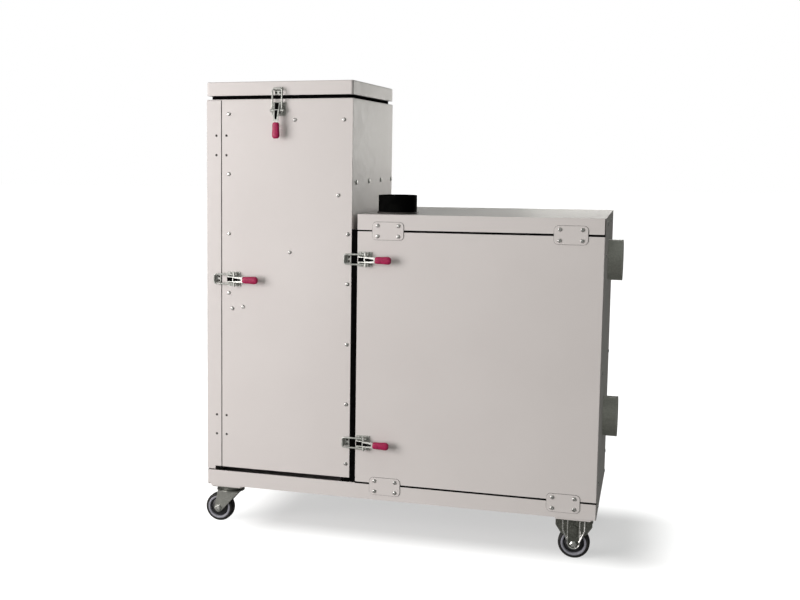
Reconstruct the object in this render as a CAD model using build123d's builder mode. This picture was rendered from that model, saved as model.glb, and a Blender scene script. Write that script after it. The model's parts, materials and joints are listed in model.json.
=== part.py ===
from build123d import *
import os
from math import cos, pi, sin

os.makedirs("parts", exist_ok=True)

# Mobile pellet-fired warm-air heater: a pellet tower and a heat exchanger box on one castor tray.
# All sizes are in millimetres. +Z is up, the front looks toward -Y and the tower stands at -X.

# Casing
casing_w = 1055.0
casing_d = 490.0
tower_w = 410.0
tower_h = 1030.0
exchanger_h = 726.0
joint_gap = 15.0
sheet_t = 2.0
seam = 3.0
flange_w = 20.0

# Base tray
tray_h = 42.0
tray_t = 2.5
tray_corner_r = 3.0
tray_clip_w = 22.0
tray_clip_h = 6.0

# Tower front and side door
post_w = 42.0
door_gap = 2.0
plate_lift = 12.0
door_return = 30.0
door_foot_w = 24.0
tongue_w = 34.0
tongue_h = 76.0
tongue_packing = 14.0

# Lid
lid_h = 37.0
lid_gap = 10.0
lid_corner_r = 7.0
lid_edge = 2.0
gasket_w = 10.0
gasket_inset = 10.0

# Hopper
mouth_ledge = 26.0
mouth_lip = 6.0
bin_wall_x = 72.0
outlet_w = 40.0
outlet_len = 60.0
slope_foot_z = 617.0
slope_head_z = 957.0
bin_flange = 20.0

# Exchanger
cover_h = 41.5
panel_return = 12.0
side_reveal = 1.0

# Joint plates over the exchanger's seams
joint_plate_w = 83.0
joint_plate_h = 47.0
joint_plate_t = 2.0
joint_plate_r = 11.0
joint_pitch_x = 55.0
joint_pitch_z = 28.0
joint_inset = 82.5
joint_drop = 4.0

# Duct collars and flue
collar_r = 54.0
collar_t = 2.0
collar_len = 37.0
collar_flange = 9.0
collar_swage = 1.0
collar_upper_z = 759.0
collar_lower_z = 335.0
flue_r = 51.0
flue_t = 2.0
flue_h = 49.0
flue_ring_r = 54.0
flue_ring_h = 5.0
flue_inset_x = 91.0
flue_inset_y = 79.0

# Castors
wheel_r = 40.0
tyre_w = 30.0
tread_t = 9.0
tyre_edge = 4.0
rim_t = 4.0
web_t = 8.0
boss_r = 14.0
castor_h = 108.0
pad_t = 5.0
castor_inset_x = 55.0
castor_inset_y = 42.0
swivel_offset = 31.0
castor_plate_l = 90.0
castor_plate_w = 75.0
castor_plate_t = 2.5
castor_plate_clip = 5.0
fork_t = 2.5
fork_gap = 38.0
fork_tip_r = 12.0
axle_r = 5.0
axle_head_r = 8.5
kingpin_r = 6.0
kingpin_head_r = 10.0
race_r = 30.0
race_h = 10.5
crown_r = 39.5
crown_t = 2.7
rib_w = 19.0

# Toggle latches: X runs from the lever's pivot to the catch, Y across and Z outward
latch_base_l = 36.0
latch_base_w = 40.0
latch_base_front = 6.0
latch_sheet = 2.5
pivot_h = 9.0
pivot_r = 2.5
cheek_r = 6.0
cheek_gap = 16.2
cheek_t = 2.3
lever_w = 15.2
lever_t = 2.0
crank = 16.0
crank_rise = 3.0
cross_pin_r = 3.0
cross_pin_l = 40.0
bail_reach = 58.3
bail_wire_r = 2.4
bail_w = 26.4
bail_eye_r = 5.5
bail_bend = 5.0
catch_w = 22.0
catch_l = 20.0
catch_x = 26.0
catch_lip_x = 36.5
catch_lip_h = 8.5
grip_x = 42.0
grip_l = 44.0
grip_w = 19.0
grip_t = 13.0
grip_h = 23.0
grip_edge = 3.0
tang_w = 11.0

# Hinges: X runs toward the moving leaf, Y along the pin and Z away from the casing
hinge_w = 60.0
hinge_leaf = 26.0
hinge_leaf_t = 2.0
hinge_r = 5.0
hinge_pin_r = 2.5

# Feed auger
auger_tube_r = 34.0
auger_tube_t = 3.0
auger_drop = 46.0
auger_x0 = 50.0
auger_x1 = 340.0
drop_tube_x = 300.0
drop_tube_r = 30.0
flight_r = 28.0
flight_foot_r = 6.5
flight_t = 3.0
flight_pitch = 50.0
flight_steps = 10
auger_shaft_r = 8.0

# Burner
burner_z = 400.0
burner_r = 60.0
burner_t = 4.0
burner_reach = 120.0
burner_body_l = 150.0
burner_body_w = 140.0
burner_body_h = 124.0
blower_r = 62.0
blower_w = 44.0
blower_wall = 3.0
blower_inlet_r = 34.0
blower_shaft_r = 6.0
blower_bore = 12.0

# Heat exchanger
drum_r = 150.0
drum_t = 4.0
smoke_left_x = (445.0, 590.0)
smoke_right_x = (900.0, 975.0)
smoke_z = (232.0, 792.0)
smoke_d = 440.0
pipe_r = 22.0
pipe_t = 3.0
pipe_rows_z = (610.0, 700.0)
pipe_pitch_y = 80.0
pipe_columns = 4
smoke_foot_w = 30.0

# Circulation fan
fan_x = 740.0
fan_z = 430.0
fan_r = 98.0
fan_duct_r = 105.0
fan_plate = 240.0
fan_duct_d = 44.0
fan_hub_r = 30.0
fan_hub_d = 24.0
fan_blades = 5
blade_root = 26.0
blade_tip = 58.0
blade_t = 2.2
blade_pitch = 28.0
fan_shaft_r = 5.0
fan_motor_r = 34.0
fan_motor_d = 30.0

# Control box
control_x = 180.0
control_z = 230.0
control_w = 150.0
control_h = 110.0
control_d = 70.0
inlet_w = 47.0
inlet_h = 27.0
socket_w = 27.0
socket_h = 20.0
socket_d = 18.0
socket_pitch = 7.0

# Fasteners
screw_r = 5.5
screw_h = 3.0
rivet_r = 3.4
rivet_h = 1.5

# Sides of the polygons that stand for repeated rounds
wheel_sides = 24
guard_sides = 20
pipe_sides = 12
small_sides = 8

# Clearances
touch = 0.3
running = 0.1
shaft_gap = 0.3
end_play = 0.4

# Levels
tray_z = castor_h + pad_t
tray_top = tray_z + tray_h
tower_top = tray_top + tower_h
box_top = tray_top + exchanger_h
lid_z = tower_top + lid_gap
rail_z = box_top - cover_h
panel_z0 = tray_top + seam
panel_z1 = rail_z - seam

# Reach of the parts that stand outside the casing
left_reach = swivel_offset + wheel_r - castor_inset_x
front_reach = grip_h + grip_t / 2
rear_reach = 2 * hinge_r + touch

# Plan positions, with the bounding box centred on the origin
x0 = left_reach - (left_reach + casing_w + collar_len) / 2
y0 = front_reach - (front_reach + casing_d + rear_reach) / 2
x1 = x0 + casing_w
y1 = y0 + casing_d
tower_x1 = x0 + tower_w
box_x0 = tower_x1 + joint_gap
mid_x = (x0 + x1) / 2
mid_y = (y0 + y1) / 2
tower_mid = x0 + tower_w / 2
box_w = x1 - box_x0
box_mid = (box_x0 + x1) / 2
plate_x0 = x0 + post_w + door_gap
bin_x0 = x0 + bin_wall_x
auger_z = slope_foot_z - auger_drop


def folded(points, thickness):
    # Section of a folded sheet that lies to the right of its line of points
    with BuildSketch() as section:
        with BuildLine():
            Polyline(*points)
            offset(amount=thickness, side=Side.RIGHT, kind=Kind.INTERSECTION)
        make_face()
    return section.sketch


def clipped(width, height, corner):
    # Plate with its corners cut at 45 degrees
    with BuildSketch() as plate:
        Rectangle(width, height)
        chamfer(plate.vertices(), corner)
    return plate.sketch


# Base tray: a folded pan with its lower front corner clipped, and the castor pads welded below it
castor_x = (x0 + castor_inset_x, x1 - castor_inset_x)
castor_y = (y0 + castor_inset_y, y1 - castor_inset_y)
with BuildPart() as base_tray:
    with BuildSketch(Plane.XY.offset(tray_z)):
        with Locations((mid_x, mid_y)):
            RectangleRounded(casing_w, casing_d, tray_corner_r)
    extrude(amount=tray_h)
    offset(amount=-tray_t, openings=base_tray.faces().sort_by(Axis.Z)[-1])
    with BuildSketch(Plane.XZ.offset(-y0)):
        with BuildLine():
            Polyline(
                (x0, tray_z),
                (x0 + tray_clip_w, tray_z),
                (x0, tray_z + tray_clip_h),
                close=True,
            )
        make_face()
    extrude(amount=-tray_t, mode=Mode.SUBTRACT)
    with BuildSketch(Plane.XY.offset(castor_h)):
        with Locations(*[(x, y) for x in castor_x for y in castor_y]):
            add(clipped(castor_plate_l + 4, castor_plate_w + 4, castor_plate_clip))
    extrude(amount=pad_t)
base_tray.part.label = "base_tray"
export_step(base_tray.part, "parts/base_tray.step")

# Tower shell: one sheet folded into the right wall and the back wall
with BuildPart() as tower_shell:
    with BuildSketch(Plane.XY.offset(tray_top)):
        add(
            folded(
                [
                    (x0 + door_return + door_gap, y1),
                    (tower_x1, y1),
                    (tower_x1, y0 + sheet_t),
                    (tower_x1 - flange_w, y0 + sheet_t),
                ],
                sheet_t,
            )
        )
    extrude(amount=tower_top - sheet_t - tray_top)
    # The right wall goes on down to the tray's floor
    with BuildSketch(Plane.XY.offset(tray_z + tray_t)):
        with Locations((tower_x1 - sheet_t / 2, mid_y)):
            Rectangle(sheet_t, casing_d - 2 * tray_t - 2 * touch)
    extrude(amount=tray_h - tray_t)
    # Port for the burner's tube
    with BuildSketch(Plane.YZ.offset(tower_x1 - sheet_t)):
        with Locations((mid_y, burner_z)):
            RegularPolygon(burner_r + 1, wheel_sides)
    extrude(amount=sheet_t, mode=Mode.SUBTRACT)
    # Port for the mains inlet
    with BuildSketch(Plane.XZ.offset(-y1)):
        with Locations((x0 + control_x + control_w / 2, control_z + control_h / 2)):
            add(clipped(inlet_w + 1, inlet_h + 1, 2))
    extrude(amount=sheet_t, mode=Mode.SUBTRACT)
tower_shell.part.label = "tower_shell"
export_step(tower_shell.part, "parts/tower_shell.step")

# Front plate of the tower
with BuildPart() as tower_front_plate:
    with BuildSketch(Plane.XZ.offset(-y0)):
        with Locations((plate_x0, tray_top + plate_lift)):
            Rectangle(
                tower_x1 - plate_x0,
                tower_top - sheet_t - tray_top - plate_lift,
                align=(Align.MIN, Align.MIN),
            )
    extrude(amount=-sheet_t)
    # The lower edge is turned in
    with BuildSketch(Plane.XY.offset(tray_top + plate_lift)):
        with Locations((plate_x0, y0)):
            Rectangle(
                tower_x1 - flange_w - touch - plate_x0,
                panel_return,
                align=(Align.MIN, Align.MIN),
            )
    extrude(amount=sheet_t)
tower_front_plate.part.label = "tower_front_plate"
export_step(tower_front_plate.part, "parts/tower_front_plate.step")

# Tower head: the deck around the hopper's mouth, with a lip turned up against dust
mouth_x0 = bin_x0 + sheet_t
mouth_x1 = tower_x1 - mouth_ledge
mouth_mid = (mouth_x0 + mouth_x1) / 2
mouth_w = mouth_x1 - mouth_x0
mouth_d = casing_d - 2 * mouth_ledge
with BuildPart() as tower_head:
    with BuildSketch(Plane.XY.offset(tower_top - sheet_t)):
        with Locations((tower_mid, mid_y)):
            RectangleRounded(tower_w, casing_d, tray_corner_r)
    extrude(amount=sheet_t)
    with BuildSketch(Plane.XY.offset(tower_top)):
        with Locations((mouth_mid, mid_y)):
            add(clipped(mouth_w + 2 * sheet_t, mouth_d + 2 * sheet_t, 8 + sheet_t))
    extrude(amount=mouth_lip)
    with BuildSketch(Plane.XY.offset(tower_top - sheet_t)):
        with Locations((mouth_mid, mid_y)):
            add(clipped(mouth_w, mouth_d, 8 + sheet_t / 4))
    extrude(amount=sheet_t + mouth_lip, mode=Mode.SUBTRACT)
tower_head.part.label = "tower_head"
export_step(tower_head.part, "parts/tower_head.step")

# Hopper: the bin's left wall and its sloping floor, flanged to the tower's front and back
bin_y0 = y0 + sheet_t
bin_y1 = y1 - sheet_t
bin_d = bin_y1 - bin_y0
slope_x0 = bin_x0 + sheet_t + outlet_w
slope_x1 = tower_x1 - sheet_t
slope = Plane(
    origin=(slope_x0, mid_y, slope_foot_z),
    x_dir=(slope_x1 - slope_x0, 0, slope_head_z - slope_foot_z),
    z_dir=(slope_foot_z - slope_head_z, 0, slope_x1 - slope_x0),
)
slope_len = ((slope_x1 - slope_x0) ** 2 + (slope_head_z - slope_foot_z) ** 2) ** 0.5
cheek_rise = bin_d / 2 - outlet_len / 2
with BuildPart() as hopper:
    with BuildSketch(Plane.XY.offset(slope_foot_z)):
        add(
            folded(
                [
                    (bin_x0 + sheet_t - bin_flange, bin_y1),
                    (bin_x0 + sheet_t, bin_y1),
                    (bin_x0 + sheet_t, bin_y0),
                    (bin_x0 + sheet_t - bin_flange, bin_y0),
                ],
                sheet_t,
            )
        )
    extrude(amount=tower_top - sheet_t - slope_foot_z)
    # Sloping floor with its edges turned up
    with BuildSketch(slope):
        Rectangle(slope_len - sheet_t, bin_d, align=(Align.MIN, Align.CENTER))
    extrude(amount=-sheet_t)
    with BuildSketch(slope):
        with Locations((0, bin_d / 2 - sheet_t / 2), (0, sheet_t / 2 - bin_d / 2)):
            Rectangle(slope_len - 2 * flange_w, sheet_t, align=(Align.MIN, Align.CENTER))
    extrude(amount=bin_flange)
    # Upper flange against the right wall
    with BuildSketch(Plane.YZ.offset(slope_x1 - sheet_t)):
        with Locations((mid_y, slope_head_z - 2 * sheet_t)):
            Rectangle(bin_d - 3 * sheet_t, bin_flange, align=(Align.CENTER, Align.MIN))
    extrude(amount=sheet_t)
    # Cheeks that lead the pellets to the outlet
    with BuildSketch(Plane.YZ.offset(bin_x0)) as cheek_section:
        for side in (-1, 1):
            with BuildLine():
                Polyline(
                    (mid_y + side * outlet_len / 2, slope_foot_z),
                    (mid_y + side * (outlet_len / 2 + cheek_rise), slope_foot_z + cheek_rise),
                    (mid_y + side * (outlet_len / 2 + cheek_rise), slope_foot_z + cheek_rise - 2 * sheet_t),
                    (mid_y + side * (outlet_len / 2 + 2 * sheet_t), slope_foot_z),
                    close=True,
                )
            make_face()
    extrude(amount=slope_x1 - bin_x0 - sheet_t)
    # Notch for the front flange of the tower's shell
    with BuildSketch(Plane.XY.offset(slope_head_z - 2 * bin_flange)):
        with Locations((slope_x1 + sheet_t, bin_y0)):
            Rectangle(flange_w + touch, sheet_t + touch, align=(Align.MAX, Align.MIN))
    extrude(amount=3 * bin_flange, mode=Mode.SUBTRACT)
    # Everything below the floor and beyond the right wall is trimmed away
    with BuildSketch(Plane.XZ.offset(-bin_y0)):
        with BuildLine():
            Polyline(
                (slope_x0 + 2 * sheet_t, slope_foot_z - sheet_t),
                (slope_x1, slope_head_z - 3.2 * sheet_t),
                (slope_x1, slope_head_z + bin_flange),
                (slope_x1 + 2 * sheet_t, slope_head_z + bin_flange),
                (slope_x1 + 2 * sheet_t, slope_foot_z - sheet_t),
                close=True,
            )
        make_face()
    extrude(amount=-bin_d, mode=Mode.SUBTRACT)
hopper.part.label = "hopper"
export_step(hopper.part, "parts/hopper.step")

# Side door: left wall, front post and rear return folded from one sheet
door_z0 = tray_top + seam
door_z1 = tower_top - sheet_t - touch
with BuildPart() as side_door:
    with BuildSketch(Plane.XY.offset(door_z0)):
        add(
            folded(
                [
                    (x0 + post_w, y0),
                    (x0, y0),
                    (x0, y1),
                    (x0 + door_return, y1),
                ],
                sheet_t,
            )
        )
    extrude(amount=door_z1 - door_z0)
    with BuildSketch(Plane.XZ.offset(-y0)):
        with Locations((x0 + door_foot_w, door_z0)):
            Rectangle(
                post_w - door_foot_w,
                tray_top + plate_lift - door_z0,
                align=(Align.MIN, Align.MIN),
            )
    extrude(amount=-sheet_t, mode=Mode.SUBTRACT)
side_door.part.label = "side_door"
export_step(side_door.part, "parts/side_door.step")

# Tongues behind the front plate that back up the door's post, the lower one on a packing strip
tongue_z = (1061.5, 287.0)
tongue_y = y0 + 2 * sheet_t
tongue_x1 = plate_x0 + tongue_w / 2
with BuildPart() as door_tongues:
    with BuildSketch(Plane.XZ.offset(-tongue_y)):
        with Locations(*[(plate_x0, z) for z in tongue_z]):
            add(clipped(tongue_w, tongue_h, 4))
    extrude(amount=-sheet_t)
    with BuildSketch(Plane.XZ.offset(-tongue_y)):
        with Locations((tongue_x1, tongue_z[1])):
            Rectangle(tongue_packing, tongue_h - 2 * seam, align=(Align.MAX, Align.CENTER))
    extrude(amount=sheet_t)
door_tongues.part.label = "door_tongues"
export_step(door_tongues.part, "parts/door_tongues.step")

# Lid: an outer shell, a liner that closes it below and a gasket ring
with BuildPart() as lid_shell:
    with BuildSketch(Plane.XY.offset(lid_z)):
        with Locations((tower_mid, mid_y)):
            RectangleRounded(tower_w, casing_d, lid_corner_r)
    extrude(amount=lid_h)
    chamfer(lid_shell.faces().sort_by(Axis.Z)[-1].edges(), lid_edge)
    offset(amount=-sheet_t, openings=lid_shell.faces().sort_by(Axis.Z)[0])
lid_shell.part.label = "lid_shell"
export_step(lid_shell.part, "parts/lid_shell.step")

liner_w = tower_w - 2 * sheet_t
liner_d = casing_d - 2 * sheet_t
liner_h = lid_h / 2
with BuildPart() as lid_liner:
    with BuildSketch(Plane.XY.offset(lid_z)):
        with Locations((tower_mid, mid_y)):
            add(clipped(liner_w, liner_d, lid_corner_r - sheet_t))
    extrude(amount=liner_h)
    offset(amount=-sheet_t, openings=lid_liner.faces().sort_by(Axis.Z)[-1])
lid_liner.part.label = "lid_liner"
export_step(lid_liner.part, "parts/lid_liner.step")

with BuildPart() as lid_gasket:
    with BuildSketch(Plane.XY.offset(tower_top + touch)):
        with Locations((tower_mid, mid_y)):
            add(clipped(tower_w - 2 * gasket_inset, casing_d - 2 * gasket_inset, 8))
            Rectangle(
                tower_w - 2 * gasket_inset - 2 * gasket_w,
                casing_d - 2 * gasket_inset - 2 * gasket_w,
                mode=Mode.SUBTRACT,
            )
    extrude(amount=lid_gap - touch)
lid_gasket.part.label = "lid_gasket"
export_step(lid_gasket.part, "parts/lid_gasket.step")

# Hinge: two knuckles and the pin on the fixed leaf, one knuckle on the moving leaf
knuckle = hinge_w / 3
axis_h = hinge_r + touch


def hinge_half(spans, direction, bore):
    # One leaf with its knuckles, each span given from end to end along the pin
    with BuildPart() as half:
        with BuildSketch():
            with Locations((direction * (axis_h + (hinge_leaf - axis_h) / 2), 0)):
                Rectangle(hinge_leaf - axis_h, hinge_w)
        extrude(amount=hinge_leaf_t)
        for start, end in spans:
            with BuildSketch(Plane.XZ.offset(-start)):
                with Locations((0, axis_h)):
                    RegularPolygon(hinge_r, small_sides)
                with Locations((direction * (axis_h + 1) / 2, hinge_leaf_t / 2)):
                    Rectangle(axis_h + 1, hinge_leaf_t)
            extrude(amount=start - end)
        if bore:
            with BuildSketch(Plane.XZ.offset(-hinge_w)):
                with Locations((0, axis_h)):
                    RegularPolygon(hinge_pin_r + running, small_sides, major_radius=False)
            extrude(amount=2 * hinge_w, mode=Mode.SUBTRACT)
        else:
            with BuildSketch(Plane.XZ.offset(-hinge_w / 2)):
                with Locations((0, axis_h)):
                    Circle(hinge_pin_r)
            extrude(amount=hinge_w)
    return half.part


moving_half = hinge_half([(-knuckle / 2, knuckle / 2)], 1, True)
fixed_half = hinge_half(
    [(-hinge_w / 2, -knuckle / 2 - end_play), (knuckle / 2 + end_play, hinge_w / 2)],
    -1,
    False,
)
lid_axis_z = tower_top + lid_gap / 2
door_axis_x = x0 + door_return + door_gap / 2
lid_hinges = [
    Plane(origin=(x0 + x, y1, lid_axis_z), x_dir=(0, 0, 1), z_dir=(0, 1, 0)) for x in (90.0, 320.0)
]
door_hinges = [
    Plane(origin=(door_axis_x, y1, z), x_dir=(-1, 0, 0), z_dir=(0, 1, 0)) for z in (330.0, 1010.0)
]
with BuildPart() as lid_hinge_leaves:
    add([place.location * moving_half for place in lid_hinges])
lid_hinge_leaves.part.label = "lid_hinge_leaves"
export_step(lid_hinge_leaves.part, "parts/lid_hinge_leaves.step")

with BuildPart() as door_hinge_leaves:
    add([place.location * moving_half for place in door_hinges])
door_hinge_leaves.part.label = "door_hinge_leaves"
export_step(door_hinge_leaves.part, "parts/door_hinge_leaves.step")

with BuildPart() as hinge_butts:
    add([place.location * fixed_half for place in lid_hinges + door_hinges])
hinge_butts.part.label = "hinge_butts"
export_step(hinge_butts.part, "parts/hinge_butts.step")

# Exchanger shell: left wall and back wall folded from one sheet, with a flange behind the side wall
with BuildPart() as exchanger_shell:
    with BuildSketch(Plane.XY.offset(tray_top)):
        add(
            folded(
                [
                    (box_x0 + flange_w, y0 + sheet_t),
                    (box_x0, y0 + sheet_t),
                    (box_x0, y1),
                    (x1 - sheet_t, y1),
                ],
                sheet_t,
            )
        )
    extrude(amount=box_top - sheet_t - tray_top)
    with BuildSketch(Plane.XY.offset(tray_top)):
        with Locations((x1 - sheet_t, y1 - sheet_t)):
            Rectangle(sheet_t, flange_w, align=(Align.MAX, Align.MAX))
    extrude(amount=rail_z - seam - tray_top)
    with BuildSketch(Plane.YZ.offset(box_x0)):
        with Locations((mid_y, burner_z)):
            RegularPolygon(burner_r + 1, wheel_sides)
    extrude(amount=sheet_t, mode=Mode.SUBTRACT)
    with BuildSketch(Plane.XZ.offset(-y1)):
        with Locations((x0 + fan_x, fan_z)):
            RegularPolygon(fan_duct_r, wheel_sides)
    extrude(amount=sheet_t, mode=Mode.SUBTRACT)
exchanger_shell.part.label = "exchanger_shell"
export_step(exchanger_shell.part, "parts/exchanger_shell.step")

# Exchanger side: the right wall with the collars' holes, its front edge turned in
with BuildPart() as exchanger_side:
    with BuildSketch(Plane.XY.offset(tray_top)):
        add(folded([(x1, y1), (x1, y0 + sheet_t), (x1 - flange_w, y0 + sheet_t)], sheet_t))
    extrude(amount=box_top - sheet_t - tray_top)
    with BuildSketch(Plane.YZ.offset(x1 - sheet_t)):
        with Locations((mid_y, collar_upper_z), (mid_y, collar_lower_z)):
            RegularPolygon(collar_r + collar_swage, wheel_sides)
    extrude(amount=sheet_t, mode=Mode.SUBTRACT)
exchanger_side.part.label = "exchanger_side"
export_step(exchanger_side.part, "parts/exchanger_side.step")

# Exchanger cover: the top and its skirt, whose front face is the upper rail
with BuildPart() as exchanger_cover:
    with BuildSketch(Plane.XY.offset(box_top - sheet_t)):
        with Locations((box_mid, mid_y)):
            RectangleRounded(box_w, casing_d, tray_corner_r)
    extrude(amount=sheet_t)
    with BuildSketch(Plane.XY.offset(rail_z)):
        with Locations((box_mid, y0)):
            Rectangle(box_w - 2 * sheet_t, sheet_t, align=(Align.CENTER, Align.MIN))
        with Locations((box_mid, y0 + 2 * sheet_t)):
            Rectangle(
                box_w - 2 * sheet_t,
                casing_d - 3 * sheet_t,
                align=(Align.CENTER, Align.MIN),
            )
            Rectangle(
                box_w - 4 * sheet_t,
                casing_d - 4 * sheet_t,
                align=(Align.CENTER, Align.MIN),
                mode=Mode.SUBTRACT,
            )
    extrude(amount=cover_h - sheet_t)
    with BuildSketch(Plane.XY.offset(box_top - sheet_t)):
        with Locations((x0 + casing_w - box_w + flue_inset_x, y0 + flue_inset_y)):
            RegularPolygon(flue_r, wheel_sides)
    extrude(amount=sheet_t, mode=Mode.SUBTRACT)
exchanger_cover.part.label = "exchanger_cover"
export_step(exchanger_cover.part, "parts/exchanger_cover.step")

# Front panel of the exchanger, its upper and lower edges turned in
panel_w = box_w - 2 * side_reveal
with BuildPart() as exchanger_front_panel:
    with BuildSketch(Plane.XZ.offset(-y0)):
        with Locations((box_mid, (panel_z0 + panel_z1) / 2)):
            Rectangle(panel_w, panel_z1 - panel_z0)
    extrude(amount=-sheet_t)
    with BuildSketch(Plane.XZ.offset(-y0)):
        with Locations((box_mid, panel_z0 + sheet_t / 2), (box_mid, panel_z1 - sheet_t / 2)):
            Rectangle(panel_w - 2 * flange_w - 2 * seam, sheet_t)
    extrude(amount=-panel_return)
exchanger_front_panel.part.label = "exchanger_front_panel"
export_step(exchanger_front_panel.part, "parts/exchanger_front_panel.step")

# Joint plates that tie the front panel to the tray and to the upper rail
joint_spots = [
    (box_mid + side * (box_w / 2 - joint_inset), z)
    for side in (-1, 1)
    for z in (tray_top - joint_drop, (panel_z1 + rail_z) / 2)
]
with BuildPart() as joint_plates:
    with BuildSketch(Plane.XZ.offset(-y0)):
        with Locations(*joint_spots):
            RectangleRounded(joint_plate_w, joint_plate_h, joint_plate_r)
    extrude(amount=joint_plate_t)
joint_plates.part.label = "joint_plates"
export_step(joint_plates.part, "parts/joint_plates.step")

# Gasket between the tower and the exchanger
with BuildPart() as joint_gasket:
    with BuildSketch(Plane.YZ.offset(tower_x1)):
        with Locations((mid_y, (panel_z0 + panel_z1) / 2)):
            Rectangle(casing_d - 30, panel_z1 - panel_z0)
            Rectangle(casing_d - 90, panel_z1 - panel_z0 - 60, mode=Mode.SUBTRACT)
    extrude(amount=joint_gap)
joint_gasket.part.label = "joint_gasket"
export_step(joint_gasket.part, "parts/joint_gasket.step")

# Duct collars: rolled tubes swaged into the right wall, with a flange behind it
with BuildPart() as duct_collars:
    for z in (collar_upper_z, collar_lower_z):
        with BuildSketch(Plane.YZ.offset(x1 - 2 * sheet_t)):
            with Locations((mid_y, z)):
                RegularPolygon(collar_r + collar_flange, wheel_sides)
        extrude(amount=sheet_t)
        with BuildSketch(Plane.YZ.offset(x1 - sheet_t)):
            with Locations((mid_y, z)):
                RegularPolygon(collar_r + collar_swage, wheel_sides)
        extrude(amount=sheet_t)
        with BuildSketch(Plane.YZ.offset(x1)):
            with Locations((mid_y, z)):
                Circle(collar_r)
        extrude(amount=collar_len)
        with BuildSketch(Plane.YZ.offset(x1 - 2 * sheet_t)):
            with Locations((mid_y, z)):
                Circle(collar_r - collar_t)
        extrude(amount=collar_len + 2 * sheet_t, mode=Mode.SUBTRACT)
duct_collars.part.label = "duct_collars"
export_step(duct_collars.part, "parts/duct_collars.step")

# Flue stub: a tube from the smoke box through the cover, with a ring at the cover
flue_x = x1 - box_w + flue_inset_x
flue_y = y0 + flue_inset_y
with BuildPart() as flue_stub:
    with BuildSketch(Plane.XY.offset(smoke_z[1])):
        with Locations((flue_x, flue_y)):
            RegularPolygon(flue_r, wheel_sides)
    extrude(amount=box_top - smoke_z[1])
    with BuildSketch(Plane.XY.offset(box_top)):
        with Locations((flue_x, flue_y)):
            Circle(flue_r)
    extrude(amount=flue_h)
    with BuildSketch(Plane.XY.offset(box_top)):
        with Locations((flue_x, flue_y)):
            Circle(flue_ring_r)
    extrude(amount=flue_ring_h)
    with BuildSketch(Plane.XY.offset(smoke_z[1])):
        with Locations((flue_x, flue_y)):
            RegularPolygon(flue_r - flue_t, wheel_sides)
    extrude(amount=box_top - smoke_z[1] + flue_h, mode=Mode.SUBTRACT)
flue_stub.part.label = "flue_stub"
export_step(flue_stub.part, "parts/flue_stub.step")

# Heat exchanger: a drum and smoke pipes welded between two smoke boxes
pipe_spots = [
    (mid_y + pipe_pitch_y * (n - (pipe_columns - 1) / 2), z)
    for z in pipe_rows_z
    for n in range(pipe_columns)
]
smoke_h = smoke_z[1] - smoke_z[0]
smoke_mid = (smoke_z[0] + smoke_z[1]) / 2
with BuildPart() as heat_exchanger:
    for start, end in (smoke_left_x, smoke_right_x):
        with BuildSketch(Plane.YZ.offset(x0 + start)):
            with Locations((mid_y, smoke_mid)):
                Rectangle(smoke_d, smoke_h)
            for side in (-1, 1):
                with Locations((mid_y + side * (smoke_d - smoke_foot_w) / 2, tray_z + tray_t)):
                    Rectangle(
                        smoke_foot_w,
                        smoke_z[0] - tray_z - tray_t,
                        align=(Align.CENTER, Align.MIN),
                    )
        extrude(amount=end - start)
    with BuildSketch(Plane.YZ.offset(x0 + smoke_left_x[1])):
        with Locations((mid_y, burner_z)):
            RegularPolygon(drum_r, wheel_sides)
        with Locations(*pipe_spots):
            RegularPolygon(pipe_r, small_sides)
    extrude(amount=smoke_right_x[0] - smoke_left_x[1])
    # The hollows of the boxes, the drum and the pipes join
    for start, end in (smoke_left_x, smoke_right_x):
        with BuildSketch(Plane.YZ.offset(x0 + start + drum_t)):
            with Locations((mid_y, smoke_mid)):
                Rectangle(smoke_d - 2 * drum_t, smoke_h - 2 * drum_t)
        extrude(amount=end - start - 2 * drum_t, mode=Mode.SUBTRACT)
    with BuildSketch(Plane.YZ.offset(x0 + smoke_left_x[1] - drum_t)):
        with Locations((mid_y, burner_z)):
            RegularPolygon(drum_r - drum_t, wheel_sides)
        with Locations(*pipe_spots):
            RegularPolygon(pipe_r - pipe_t, small_sides)
    extrude(amount=smoke_right_x[0] - smoke_left_x[1] + 2 * drum_t, mode=Mode.SUBTRACT)
    with BuildSketch(Plane.YZ.offset(x0 + smoke_left_x[0])):
        with Locations((mid_y, burner_z)):
            RegularPolygon(burner_r, wheel_sides)
    extrude(amount=drum_t, mode=Mode.SUBTRACT)
    with BuildSketch(Plane.XY.offset(smoke_z[1] - drum_t)):
        with Locations((flue_x, flue_y)):
            RegularPolygon(flue_r - flue_t, wheel_sides)
    extrude(amount=drum_t, mode=Mode.SUBTRACT)
heat_exchanger.part.label = "heat_exchanger"
export_step(heat_exchanger.part, "parts/heat_exchanger.step")

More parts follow.
